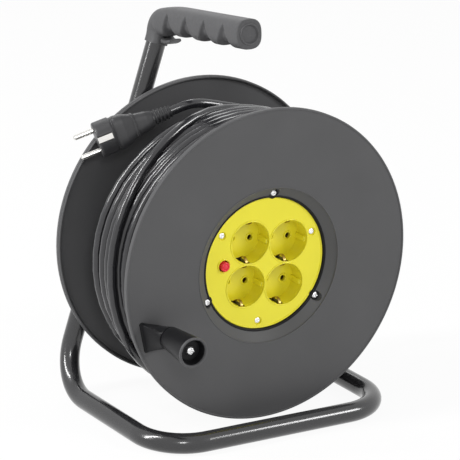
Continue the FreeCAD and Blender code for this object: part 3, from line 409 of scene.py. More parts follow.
@dataclass(frozen=True)
class PanScrew:
    """A screw along Y with a domed head, a cross recess and a plain shank, its head towards -Y.

    The dome and the cross are shares of the head's height, and the rim and the arms are shares of its radius.
    """

    head_radius: float
    head_height: float
    shank_radius: float
    shank_end: float
    dome: float = 0.8
    rim: float = 0.97
    cross_depth: float = 0.55
    arm_half: float = 0.17
    arm_edge: float = 0.06
    arm_reach: float = 0.66
    reach_edge: float = 0.08
    head_rings: int = 22
    segments: int = 96

    def build(self, name: str, place: Spot, seat: float, body: Body) -> bpy.types.Object:
        """Shapes the screw.

        The head's height over its seat is h * (1 - dome * (r / R)^4). The cross is pressed in where the
        distance to one of its two middle lines is under the arm's half width and the radius is under the
        arm's reach, both eased over their edges.

        Args:
            name: the piece's name.
            place: the axis's x and z.
            seat: the place along Y of the head's underside.
            body: the body that it rides on.

        Returns:
            The new object.
        """
        wide, high = self.head_radius, self.head_height
        under = [wide * self.rim, self.shank_radius, self.shank_radius, 0.0]
        radius = np.concatenate([np.linspace(0, 1, self.head_rings) * wide, under])[:, None]
        angle = full_turn(self.segments)[None, :]
        rise = high * (1 - self.dome * (radius / wide) ** 4)
        nearest = np.minimum(np.abs(radius * np.cos(angle)), np.abs(radius * np.sin(angle)))
        arm = smooth((self.arm_half * wide - nearest) / (self.arm_edge * wide))
        reach = smooth((self.arm_reach * wide - radius) / (self.reach_edge * wide))
        y = seat - rise + self.cross_depth * high * arm * reach
        y[self.head_rings:] = np.array([seat, seat, self.shank_end, self.shank_end])[:, None]
        return skin(name, about(place, radius, y, angle), body, crease=50.0)


def spots(radius: float, angles: Sequence[float]) -> list[Spot]:
    """Places (x, z) on a circle at angles in degrees."""
    turns = [math.radians(angle) for angle in angles]
    return [(radius * math.cos(turn), radius * math.sin(turn)) for turn in turns]


def bead(middle: float, y: float, radius: float, points: int = 12) -> Array:
    """A small round outline of (radius, place along Y), for a bead that runs round a ring."""
    angle = full_turn(points)
    return np.stack([middle + radius * np.cos(angle), y + radius * np.sin(angle)], -1)


class Wire:
    """A shader socket that takes part in Python expressions, each adding its Math node."""

    def __init__(self, graph: "Graph", socket: bpy.types.NodeSocket) -> None:
        """Keeps the socket and the graph that it belongs to."""
        self.graph = graph
        self.socket = socket

    def _math(self, operation: str, other: Any) -> "Wire":
        """Adds one Math node for this wire and another wire or a number."""
        return self.graph.node("ShaderNodeMath", {"operation": operation}, {0: self, 1: other}).wire()

    def __add__(self, other: Any) -> "Wire":
        """This plus other."""
        return self._math("ADD", other)

    def __mul__(self, other: Any) -> "Wire":
        """This times other."""
        return self._math("MULTIPLY", other)

    __radd__ = __add__
    __rmul__ = __mul__


class Node:
    """A shader node whose outputs come as wires."""

    def __init__(self, graph: "Graph", node: bpy.types.Node) -> None:
        """Keeps the node and its graph."""
        self.graph = graph
        self.node = node

    def wire(self, output: str | int = 0) -> Wire:
        """One of the node's outputs."""
        return Wire(self.graph, self.node.outputs[output])


class Graph:
    """A node tree of a material or the world, emptied and built anew."""

    def __init__(self, tree: bpy.types.NodeTree, output: str) -> None:
        """Empties the tree and gives it its output node.

        Args:
            tree: the material's or world's tree.
            output: the output node's type.
        """
        self.tree = tree
        self.tree.nodes.clear()
        self.output = self.node(output).node

    def node(
        self, kind: str, settings: dict[str, Any] | None = None, inputs: dict[str | int, Any] | None = None
    ) -> Node:
        """Adds any node.

        Args:
            kind: the node's type.
            settings: attributes to set first, such as a Math node's operation.
            inputs: numbers, colours or wires by socket name or number.

        Returns:
            The new node.
        """
        made = self.tree.nodes.new(kind)
        for key, value in (settings or {}).items():
            setattr(made, key, value)
        for key, value in (inputs or {}).items():
            self.feed(made.inputs[key], value)
        return Node(self, made)

    def feed(self, socket: bpy.types.NodeSocket, value: Any) -> None:
        """Links a wire to a socket, or sets the socket to a constant.

        Args:
            socket: the input.
            value: a wire, a number, a setting or a colour of three numbers.
        """
        if isinstance(value, Wire):
            self.tree.links.new(value.socket, socket)
        elif isinstance(value, tuple) and len(value) == 3 and socket.type == "RGBA":
            socket.default_value = (*value, 1.0)
        else:
            socket.default_value = value

    def show(self, shown: Wire) -> None:
        """Gives a shader to the output's surface."""
        self.feed(self.output.inputs["Surface"], shown)

    def seen(self) -> Wire:
        """1 for rays that come from the camera, in gloss or through glass, 0 for light itself."""
        rays = self.node("ShaderNodeLightPath")
        return rays.wire("Is Camera Ray") + rays.wire("Is Glossy Ray") + rays.wire("Is Transmission Ray")

    def mixed(self, share: Wire, under: Wire, over: Wire) -> Wire:
        """Lays one shader over another by a share from 0 to 1."""
        return self.node("ShaderNodeMixShader", None, {0: share, 1: under, 2: over}).wire()


class Shader(Graph):
    """Builds one material around a Principled shader."""

    def __init__(self, name: str) -> None:
        """Starts an empty material with its shader and output.

        Args:
            name: the material's name.
        """
        self.material = bpy.data.materials.new(name)
        self.material.use_nodes = True
        super().__init__(self.material.node_tree, "ShaderNodeOutputMaterial")
        self.surface = self.node("ShaderNodeBsdfPrincipled")
        self.show(self.surface.wire())
        self.place = self.node("ShaderNodeTexCoord").wire("Object")

    def set(self, **sockets: Any) -> None:
        """Feeds the Principled shader, its socket names written with underscores for spaces."""
        for name, value in sockets.items():
            self.feed(self.surface.node.inputs[name.replace("_", " ")], value)

    def noise(self, scale: float, detail: float) -> Wire:
        """Noise from 0 to 1 on the piece's own coordinates, scale in waves per metre."""
        inputs = {"Vector": self.place, "Scale": scale, "Detail": detail}
        return self.node("ShaderNodeTexNoise", None, inputs).wire()

    def blend(self, share: Any, first: Colour, second: Colour) -> Wire:
        """Mixes two colours by a share from 0 to 1."""
        made = self.node("ShaderNodeMix", {"data_type": "RGBA"}, {0: share, 6: first, 7: second})
        return made.wire(2)

    def bump(self, height: Any, strength: float, distance: float) -> None:
        """Raises the surface's shading by a height."""
        inputs = {"Height": height, "Strength": strength, "Distance": distance}
        self.set(Normal=self.node("ShaderNodeBump", None, inputs).wire())


@dataclass(frozen=True)
class Finish:
    """A finish whose colour, roughness and relief vary a little over the surface.

    Clouds and grain are in waves per metre, the relief is its bump's strength and the depth is in metres.
    """

    name: str
    dark: Colour
    light: Colour
    rough: tuple[float, float] = (0.35, 0.45)
    cloud: float = 40.0
    grain: float = 1500.0
    relief: float = 0.1
    depth: float = 0.0002
    metallic: float = 0.0
    coat: float = 0.0
    coat_rough: float = 0.12
    specular: float = 0.5

    def material(self) -> bpy.types.Material:
        """Builds the material: clouds mix the two colours, fine grain carries roughness and bump.

        Returns:
            The finished material.
        """
        shader = Shader(self.name)
        cloud, grain = shader.noise(self.cloud, detail=4.0), shader.noise(self.grain, detail=2.0)
        low, high = self.rough
        shader.set(
            Base_Color=shader.blend(cloud, self.dark, self.light),
            Roughness=low + (high - low) * (0.5 * cloud + 0.5 * grain),
            Metallic=self.metallic,
            Coat_Weight=self.coat,
            Coat_Roughness=self.coat_rough,
            Specular_IOR_Level=self.specular,
        )
        shader.bump(grain, self.relief, self.depth)
        return shader.material


FINISHES = {
    finish.name: finish
    for finish in (
        Finish(
            "stand_tube", (0.014, 0.014, 0.015), (0.024, 0.024, 0.026), (0.16, 0.26),
            cloud=25, grain=700, relief=0.14, depth=0.0003, coat=0.5,
        ),
        Finish(
            "drum_plastic", (0.082, 0.082, 0.084), (0.1, 0.1, 0.103), (0.4, 0.52),
            cloud=18, grain=2500, relief=0.06, depth=0.0001, specular=0.2,
        ),
        Finish(
            "grip_plastic", (0.055, 0.055, 0.057), (0.095, 0.095, 0.099), (0.4, 0.56),
            cloud=420, grain=900, relief=0.3, depth=0.0003, specular=0.3,
        ),
        Finish(
            "plate_yellow", (0.76, 0.68, 0.02), (0.84, 0.76, 0.03), (0.26, 0.36),
            cloud=30, grain=1800, relief=0.05, depth=0.0001,
        ),
        Finish(
            "button_red", (0.72, 0.02, 0.035), (0.82, 0.03, 0.05), (0.15, 0.25),
            cloud=200, grain=3000, relief=0.05, depth=0.0001,
        ),
        Finish(
            "inner_plastic", (0.007, 0.007, 0.008), (0.012, 0.012, 0.013), (0.3, 0.4),
            relief=0.05, specular=0.14,
        ),
        Finish("nylon", (0.62, 0.6, 0.54), (0.72, 0.7, 0.64), (0.4, 0.5)),
        Finish(
            "zinc_steel", (0.8, 0.8, 0.81), (0.92, 0.92, 0.92), (0.24, 0.36),
            cloud=120, grain=1600, relief=0.15, depth=0.0001, metallic=1.0,
        ),
        Finish(
            "nickel", (0.7, 0.69, 0.66), (0.82, 0.81, 0.78), (0.12, 0.22),
            cloud=150, grain=2500, relief=0.05, depth=0.0001, metallic=1.0,
        ),
        Finish(
            "contact_brass", (0.4, 0.28, 0.08), (0.5, 0.36, 0.12), (0.3, 0.42),
            cloud=150, grain=1500, relief=0.1, depth=0.0001, metallic=1.0,
        ),
        Finish(
            "plug_rubber", (0.026, 0.026, 0.028), (0.038, 0.038, 0.04), (0.34, 0.48),
            cloud=120, grain=2600, relief=0.2, depth=0.0002, specular=0.4,
        ),
        Finish(
            "cord_sheath", (0.013, 0.013, 0.015), (0.022, 0.022, 0.025), (0.15, 0.23),
            cloud=90, grain=1400, relief=0.1, depth=0.0002, coat=0.4,
        ),
        Finish("wire_brown", (0.12, 0.05, 0.02), (0.16, 0.07, 0.03)),
        Finish("wire_blue", (0.03, 0.1, 0.4), (0.05, 0.14, 0.5)),
        Finish("wire_green", (0.2, 0.4, 0.04), (0.3, 0.5, 0.06)),
    )
}


class Dresser:
    """Hands out materials, one per finish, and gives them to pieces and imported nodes."""

    def __init__(self, frame: dict[str, Any]) -> None:
        """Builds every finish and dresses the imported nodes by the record's slots.
        """
        self.materials = {name: finish.material() for name, finish in FINISHES.items()}
        for entry in frame["record"]["subparts"]:
            node = frame["nodes"][entry["node"]]
            node.data.materials.clear()
            node.data.materials.append(self.materials[entry["material_slot"]])

    def dress(self, piece: bpy.types.Object, slot: str) -> None:
        """Gives a new piece its finish and logs it with its slot.

        Args:
            piece: the new object.
            slot: the record's material slot.
        """
        piece.data.materials.clear()
        piece.data.materials.append(self.materials[slot])
        log.info("%s: %s", piece.name, slot)


@dataclass(frozen=True)
class Lamp:
    """A soft lamp that is aimed at the reel, in metres and watts."""

    name: str
    place: Point
    power: float
    width: float
    height: float


@dataclass(frozen=True)
class Studio:
    """A white floor, soft lamps and the camera."""

    azimuth: float = -30.91
    elevation: float = 17.37
    roll: float = 1.69
    distance: float = 1.99362
    focal_pixels: float = 2165.26
    photo_pixels: float = 460.0
    sensor: float = 36.0
    clip: Spot = (0.1, 30.0)
    target: Point = (0.00117, 0.02008, 0.16561)
    floor_half: float = 8.0
    floor_grey: float = 0.9
    floor_rough: float = 0.9
    floor_white: float = 0.93
    room_light: float = 0.34
    lamps: tuple[Lamp, ...] = (
        Lamp("left_strip", (-1.8, 0.3, 1.6), 48.0, 0.2, 1.9),
        Lamp("right_lamp", (1.7, -1.9, 1.6), 30.0, 0.7, 0.7),
        Lamp("fill_lamp", (-1.1, -2.3, 1.5), 15.0, 0.5, 0.5),
        Lamp("back_lamp", (0.5, 1.7, 1.9), 8.0, 0.8, 0.8),
    )

    def build(self) -> None:
        """Makes the camera, the floor, the lamps and the white world."""
        bpy.context.scene.view_settings.view_transform = "Standard"
        self._camera()
        self._floor()
        self._lamps()
        self._world()

    def _camera(self) -> None:
        """Places the camera on a sphere round its target, rolled a little."""
        azimuth, elevation = math.radians(self.azimuth), math.radians(self.elevation)
        flat = math.cos(elevation)
        back = Vector((math.sin(azimuth) * flat, -math.cos(azimuth) * flat, math.sin(elevation)))
        data = bpy.data.cameras.new("photo_camera")
        data.sensor_width = self.sensor
        data.lens = self.focal_pixels / self.photo_pixels * data.sensor_width
        data.clip_start, data.clip_end = self.clip
        camera = added("photo_camera", data)
        roll = Matrix.Rotation(math.radians(self.roll), 3, "Z")
        turn = (-back).to_track_quat("-Z", "Y").to_matrix() @ roll
        camera.matrix_world = Matrix.Translation(Vector(self.target) + back * self.distance) @ turn.to_4x4()
        bpy.context.scene.camera = camera

    def _floor(self) -> None:
        """Makes a flat floor that looks white to the camera and in gloss, and keeps the soft shadow."""
        mesh = bpy.data.meshes.new("floor")
        half = self.floor_half
        corners = [(-half, -half, 0.0), (half, -half, 0.0), (half, half, 0.0), (-half, half, 0.0)]
        mesh.from_pydata(corners, [], [(0, 1, 2, 3)])
        floor = added("floor", mesh)
        shader = Shader("floor_white")
        shader.set(Base_Color=(self.floor_grey,) * 3, Roughness=self.floor_rough)
        glow = shader.node("ShaderNodeEmission", None, {"Color": (1.0, 1.0, 1.0), "Strength": 1.0})
        shader.show(shader.mixed(self.floor_white * shader.seen(), shader.surface.wire(), glow.wire()))
        mesh.materials.append(shader.material)

    def _lamps(self) -> None:
        """Hangs the soft lamps: a tall strip for the gloss lines, and squares."""
        for lamp in self.lamps:
            data = bpy.data.lights.new(lamp.name, "AREA")
            data.shape = "RECTANGLE"
            data.energy, data.size, data.size_y = lamp.power, lamp.width, lamp.height
            hung = added(lamp.name, data)
            hung.location = lamp.place
            aim = Vector(self.target) - Vector(lamp.place)
            hung.rotation_euler = aim.to_track_quat("-Z", "Y").to_euler()

    def _world(self) -> None:
        """Lights the reel evenly from a pale world that looks white to the camera and in gloss."""
        world = bpy.data.worlds.new("white_room")
        bpy.context.scene.world = world
        world.use_nodes = True
        room = Graph(world.node_tree, "ShaderNodeOutputWorld")
        lit, white = (
            room.node("ShaderNodeBackground", None, {"Color": (1.0, 1.0, 1.0), "Strength": strength}).wire()
            for strength in (self.room_light, 1.0)
        )
        room.show(room.mixed(room.seen(), lit, white))


@dataclass(frozen=True)
class PlugPlace:
    """Where the plug lies on the drum: its tail, the way it points and how it is rolled."""

    tail_radius: float = 135.4
    tail_angle: float = 117.5
    tail_back: float = 28.0
    heading: float = 206.25
    tilt: float = 15.7
    roll: float = 20.0

    def axes(self) -> tuple[Array, Array, Array, Array]:
        """Works out the tail's place and the plug's own directions in the drum's frame.

        Returns:
            The tail, the pins' sideways direction, the earth strips' direction and the plug's own way.
        """
        heading, tilt, turn = (math.radians(value) for value in (self.heading, self.tilt, self.roll))
        tail = about_axle(self.tail_angle, self.tail_radius, self.tail_back)
        flat = math.cos(tilt)
        way = np.array([math.cos(heading) * flat, math.sin(tilt), math.sin(heading) * flat])
        front = unit(np.array([0.0, -1.0, 0.0]) + way * way[1])
        side = np.cross(front, way)
        cos, sin = math.cos(turn), math.sin(turn)
        return tail, cos * side + sin * front, cos * front - sin * side, way

    def on_drum(self, points: Array) -> Array:
        """Carries points of the plug's frame, tail at the origin and pins along Z, to the drum's frame."""
        tail, side, front, way = self.axes()
        return tail + points[..., :1] * side + points[..., 1:2] * front + points[..., 2:] * way


@dataclass(frozen=True)
class Winding:
    """The whole cord: from the gland through the drum's layers to the plug's tail, as one smooth line.

    Riser, loose turn and tail are rows of angle in degrees, distance from the axle and place along it; the
    riser's angles count from the gland. A wave is its height, its pace against the angle and its lead.
    """

    diameter: float = 8.7
    gland_angle: float = -60.0
    first_turn: float = 125.0
    first_radius: float = 79.5
    layer_step: float = 8.33
    climb_turn: float = 0.2
    inner_layers: int = 6
    inner_turns: float = 8.5625
    front: float = -58.5
    rear: float = 26.0
    outer_radius: float = 129.5
    outer_turns: float = 7.6875
    outer_spread: float = 82.5
    drifts: tuple[Point, ...] = ((0.9, 0.83, 0.0), (0.8, 0.37, 2.0))
    swell: Point = (0.6, 0.31, 1.0)
    drift_in: float = 12.0
    top_gather: float = 16.0
    gather_power: float = 1.5
    top_sag: float = 6.8
    sag_angle: float = 87.0
    sag_width: float = 17.0
    sag_front: float = -15.0
    sag_rise: float = 25.0
    sag_bottom: float = 75.0
    per_turn: int = 16
    riser: tuple[Point, ...] = (
        (0.0, 67.0, -48.0), (0.0, 78.3, -48.0), (0.0, 89.7, -48.0), (2.5, 100.2, -48.3), (6.5, 108.9, -49.2),
        (11.5, 114.8, -50.3), (16.9, 117.6, -51.6), (22.4, 119.1, -52.5), (28.4, 119.0, -53.5),
        (35.6, 116.6, -54.5), (44.4, 112.0, -55.6), (54.9, 105.3, -56.6), (67.7, 97.2, -57.5),
        (83.6, 88.6, -58.2), (104.0, 81.4, -58.5),
    )
    loose: tuple[Point, ...] = (
        (87.5, 125.5, 7.0), (98.0, 128.5, 3.0), (107.0, 132.5, -1.5), (117.0, 136.0, -6.0),
        (127.5, 137.3, -14.5), (139.0, 137.3, -22.0), (165.0, 137.3, -27.0), (200.0, 137.0, -26.0),
        (235.0, 136.0, -14.0), (265.0, 134.0, 1.0), (300.0, 131.5, 17.0), (340.0, 130.0, 27.0),
        (380.0, 129.5, 31.0), (403.0, 129.5, 30.0),
    )
    tail: tuple[Point, ...] = (
        (67.4, 127.8, 26.0), (76.9, 123.9, 23.5), (86.8, 123.9, 22.0), (96.3, 127.5, 21.4),
        (105.1, 134.2, 21.6), (110.2, 136.1, 23.2),
    )
    plug: PlugPlace = PlugPlace()

    def _inner(self) -> Array:
        """Works out the hidden layers' control points as rows of angle, radius and place along the axle.

        The angle grows evenly. A layer's place along the axle runs evenly from one edge to the other, the
        layers taking turns in direction, and the radius climbs to the next layer over the last part of the
        layer's last turn.

        Returns:
            An array of (n, 3).
        """
        turns = np.arange(round(self.inner_layers * self.inner_turns * self.per_turn)) / self.per_turn
        layer = np.minimum(np.floor(turns / self.inner_turns), self.inner_layers - 1)
        share = turns / self.inner_turns - layer
        forth = np.where(layer % 2 == 0, share, 1 - share)
        climb = np.clip((share - 1) * self.inner_turns / self.climb_turn + 1, 0, 1)
        angle = self.gland_angle + self.first_turn + 360 * turns
        radius = self.first_radius + self.layer_step * (layer + climb)
        return np.stack([angle, radius, self.front + (self.rear - self.front) * forth], -1)

    def _outer(self, start: float) -> Array:
        """Works out the seen layer's control points, wound by hand.

        The place along the axle is front + spread(angle) * share of the turns, where the spread narrows over
        the top by the gather. Slow waves, h sin(p a + l), let every turn drift and swell a little.

        Args:
            start: the first control point's angle.

        Returns:
            An array of (n, 3).
        """
        count = round(self.outer_turns * self.per_turn)
        share = np.arange(count) / count
        angle = start + 360 * self.outer_turns * share
        turn = np.radians(angle)
        over_top = np.clip(np.sin(turn), 0, 1) ** self.gather_power
        first, second, swell = (
            height * np.sin(pace * turn + lead) for height, pace, lead in (*self.drifts, self.swell)
        )
        spread = self.outer_spread - self.top_gather * over_top
        back = self.front + spread * share + (first + second) * smooth(share * self.drift_in)
        return np.stack([angle, self.outer_radius + swell, back], -1)

    def _sagged(self, rows: Array) -> Array:
        """Presses the turns flat over the top behind the middle, as the pull on the plug's end leaves them.

        The radius falls by sag * exp(-(offset / width)^2) * w * (r - bottom) / (outer - bottom), where offset
        is the angle from the sag's middle and w rises from 0 to 1 along the axle.

        Args:
            rows: (n, 3) of angle, radius and place along the axle.

        Returns:
            The rows with their radii lessened.
        """
        offset = (rows[:, 0] - self.sag_angle + 180.0) % 360.0 - 180.0
        rearward = smooth((rows[:, 2] - self.sag_front) / self.sag_rise)
        flat = np.exp(-((offset / self.sag_width) ** 2)) * rearward
        share = (rows[:, 1] - self.sag_bottom) / (self.outer_radius - self.sag_bottom)
        return rows - np.outer(self.top_sag * flat * share, [0.0, 1.0, 0.0])

    def _loose(self, start: float) -> Array:
        """Works out the last turn, which lies over the others and leads to the plug.

        Args:
            start: the angle at which the seen layer ends.

        Returns:
            An array of (n, 3), a control point every part of a turn, between the listed places.
        """
        places = np.array(self.loose)
        angle = np.arange(places[0, 0], places[-1, 0] + 1, 360 / self.per_turn)
        rows = [np.interp(angle, places[:, 0], places[:, column]) for column in (1, 2)]
        return np.stack([angle - places[0, 0] + start, *rows], -1)

    def route(self) -> Array:
        """Lists the whole line's control points in the drum's frame, in millimetres.

        A turn's control points stand outside the line by 1 / cos(half a step), as a quadratic spline needs.

        Returns:
            An array of (n, 3) from the cord's end in the core to the plug's tail.
        """
        riser = np.array(self.riser) + [self.gland_angle, 0, 0]
        inner = self._inner()
        step = 360 / self.per_turn
        outer = self._outer(inner[-1, 0] + step)
        loose = self._loose(outer[-1, 0] + step)
        turns = np.vstack([self._sagged(inner), self._sagged(outer), loose])
        turns[:, 1] /= math.cos(math.pi / self.per_turn)
        tail, _, _, way = self.plug.axes()
        ends = np.array([tail - way * self.diameter, tail])
        parts = [about_axle(*rows.T) for rows in (riser, turns, np.array(self.tail))]
        return np.vstack([*parts, ends])

    def build(self, dresser: Dresser, plug: Sequence[bpy.types.Object | str]) -> None:
        """Args:
            dresser: gives the finish.
            plug: the plug's pieces, not used.
        """
        points = on_drum(self.route())
        curve = bpy.data.curves.new("wound_cord", "CURVE")
        curve.dimensions = "3D"
        spline = curve.splines.new("NURBS")
        spline.points.add(len(points) - 1)
        spline.points.foreach_set("co", np.hstack([points, np.ones((len(points), 1))]).ravel())
        spline.order_u = 3
        spline.use_endpoint_u = True
        spline.resolution_u = 3
        # the points carry the radius, so that the curve's box is that of its tube
        spline.points.foreach_set("radius", np.full(len(points), self.diameter / 2 * MM))
        curve.bevel_depth = 1.0
        curve.bevel_resolution = 3
        curve.use_fill_caps = True
        cord = added("wound_cord", curve)
        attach(cord, Body.DRUM.value)
        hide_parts("cord_winding", "cord_inner_layers")
        dresser.dress(cord, "cord_sheath")


@dataclass(frozen=True)
class Grip:
    """The carrying grip: a bent bar with finger scoops, a hook under its bend and a ringed end cap."""

    front: Point = (-30.5, -63.5, 213.6)
    corner: Point = (-30.0, 83.25, 198.3)
    foot: Point = (-133.0, 83.25, -143.55)
    cover: float = 6.0
    knee: float = 27.0
    sag: float = 4.3
    bends: Spot = (14.0, 9.0)
    collar: float = 23.5
    taper_start: float = 26.0
    taper: float = 22.0
    width: float = 25.0
    height: float = 26.5
    collar_half: float = 9.9
    power: float = 2.7
    first_scoop: float = 23.0
    scoop_pitch: float = 33.5
    scoops: int = 4
    scoop_depth: float = 5.4
    scoop_tip: float = 8.0
    scoop_height: float = 21.0
    scoop_ahead: float = 12.0
    scoop_behind: float = 15.0
    scoop_rise: float = 0.6
    scoop_fall: float = 0.3
    scoop_fade: float = 0.4
    tube_cover: float = 9.7
    hook_half: Spot = (7.5, 2.9)
    hook_loss: Spot = (1.5, 1.2)
    hook_power: float = 4.0

    def _ways(self) -> tuple[Array, Array, Array, Array, Array]:
        """Works out the grip's own directions.

        Returns:
            The front point, the corner, and the ahead, down and across directions.
        """
        front, corner, foot = (np.array(point) for point in (self.front, self.corner, self.foot))
        ahead, down = unit(front - corner), unit(foot - corner)
        return front, corner, ahead, down, unit(np.cross(ahead, [0.0, 0.0, 1.0]))

    def _path(self) -> Array:
        """Draws the bar's middle line, with a parabola at each of its two bends.

        Returns:
            An array of (n, 3) from the front end to the collar.
        """
        front, corner, ahead, down, _ = self._ways()
        end, knee = front + ahead * self.cover, corner + ahead * self.knee
        corners = [end, knee, corner + down * self.sag, corner + down * self.collar]
        return spaced(softened(corners, self.bends, 24), 0.8)

    def _scooped(self, travelled: Array, points: Array) -> Array:
        """Presses the finger scoops into the section.

        A scoop is a slanted triangle with its tip up: at height b its share is t = (tip - b) / height, and it
        reaches t times its ahead and behind lengths to either side of its tip. Its depth, times t^fade, rises
        over a share of the part behind and falls over a share of the part ahead. It never lays the tube bare.

        Args:
            travelled: millimetres from the front end, as a column.
            points: (rows, columns, 2) sideways and upwards.

        Returns:
            The points drawn towards the middle line.
        """
        low = np.clip((self.scoop_tip - points[..., 1]) / self.scoop_height, 0.0, 1.0)
        centres = self.first_scoop + self.scoop_pitch * np.arange(self.scoops)
        offset = centres - travelled[..., None]
        ahead, behind = (side * low[..., None] + HAIR for side in (self.scoop_ahead, self.scoop_behind))
        rise = smooth((offset + behind) / (self.scoop_rise * behind))
        fall = smooth((ahead - offset) / (self.scoop_fall * ahead))
        reach = np.linalg.norm(points, axis=-1)
        press = self.scoop_depth * np.minimum(rise, fall).max(-1) * low**self.scoop_fade
        press = np.minimum(press, np.maximum(reach - self.tube_cover, 0.0))
        return points * (1 - press / reach)[..., None]

    def _section(self, travelled: Array, angle: Array) -> Array:
        """Draws the bar's section: a rounded rectangle that narrows to the tube at the collar.

        Args:
            travelled: millimetres from the front end, as a column.
            angle: angles round the section, as a row.

        Returns:
            (rows, columns, 2) sideways and upwards.
        """
        slim = smooth((travelled - travelled.max() + self.taper_start) / self.taper)
        half_width, half_height = (
            size / 2 + (self.collar_half - size / 2) * slim for size in (self.width, self.height)
        )
        return self._scooped(travelled, superellipse(angle, half_width, half_height, self.power))

    def _bar(self) -> bpy.types.Object:
        """Sweeps the bar."""
        up = np.array([0.0, 1.0, 1.0])
        return swept("grip_bar", self._path(), self._section, Body.STAND, up, sides=96, crease=50.0)

    def _cap(self) -> bpy.types.Object:
        """Shapes the end cap: the bar's section, eased over its edge into a ring round a shallow dish.

        Each row has its place past the bar's end, and a share of the bar's section or a circle's radius.

        Returns:
            The cap.
        """
        front, _, ahead, _, across = self._ways()
        upward = np.cross(across, ahead)
        tip = front + ahead * self.cover
        place = np.array([-0.4, 1.3, 2.0, 2.45, 2.5, 2.5, 3.2, 3.4, 3.3, 2.2, 1.7, 1.7])[:, None, None]
        ring = np.array([0, 0, 0, 0, 0, 9.6, 9.3, 8.8, 8.2, 7.4, 6.8, 0.05])[:, None]
        inset = np.array([1.0, 1.0, 0.985, 0.94, 0.88, 0, 0, 0, 0, 0, 0, 0])[:, None]
        angle = full_turn(96)[None]
        outline = superellipse(angle, self.width / 2, self.height / 2, self.power) * inset[..., None]
        rounds = np.stack([ring * np.cos(angle), ring * np.sin(angle)], -1)
        flat = np.where(inset[..., None] > 0, outline, rounds)
        grid = tip + flat[..., :1] * across + flat[..., 1:] * upward + place * ahead
        return skin("grip_cap", grid, Body.STAND, capped=True, crease=28.0)

    def _hook(self) -> bpy.types.Object:
        """Sweeps the flat hook that reaches forwards under the bend.

        Its path's points are so far ahead of the corner and so far below the bar's middle line.

        Returns:
            The hook.
        """
        _, corner, ahead, down, across = self._ways()
        drop = -np.cross(across, ahead)
        places = [(2.0, 16.0), (8.0, 19.8), (16.0, 20.4), (23.0, 18.4)]
        path = softened([corner + ahead * a + drop * b for a, b in places], (2.5, 3.0), 8)

        def section(travelled: Array, angle: Array) -> Array:
            """A flat rounded bar that narrows by the cube of the way travelled and thins evenly."""
            share = travelled / travelled.max()
            half_width = self.hook_half[0] - self.hook_loss[0] * share**3
            half_height = self.hook_half[1] - self.hook_loss[1] * share
            return superellipse(angle, half_width, half_height, self.hook_power)

        up = np.array([0.0, 0.0, 1.0])
        return swept("grip_hook", spaced(path, 2.0), section, Body.STAND, up, sides=32, crease=50.0)

    def build(self, dresser: Dresser) -> None:
        """Makes and dresses the grip's pieces.

        Args:
            dresser: gives the pieces their finishes.
        """
        bar, cap, hook = self._bar(), self._cap(), self._hook()
        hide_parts("handle_grip")
        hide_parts("grip_end_cap")
        for piece in (bar, cap, hook):
            dresser.dress(piece, "grip_plastic")


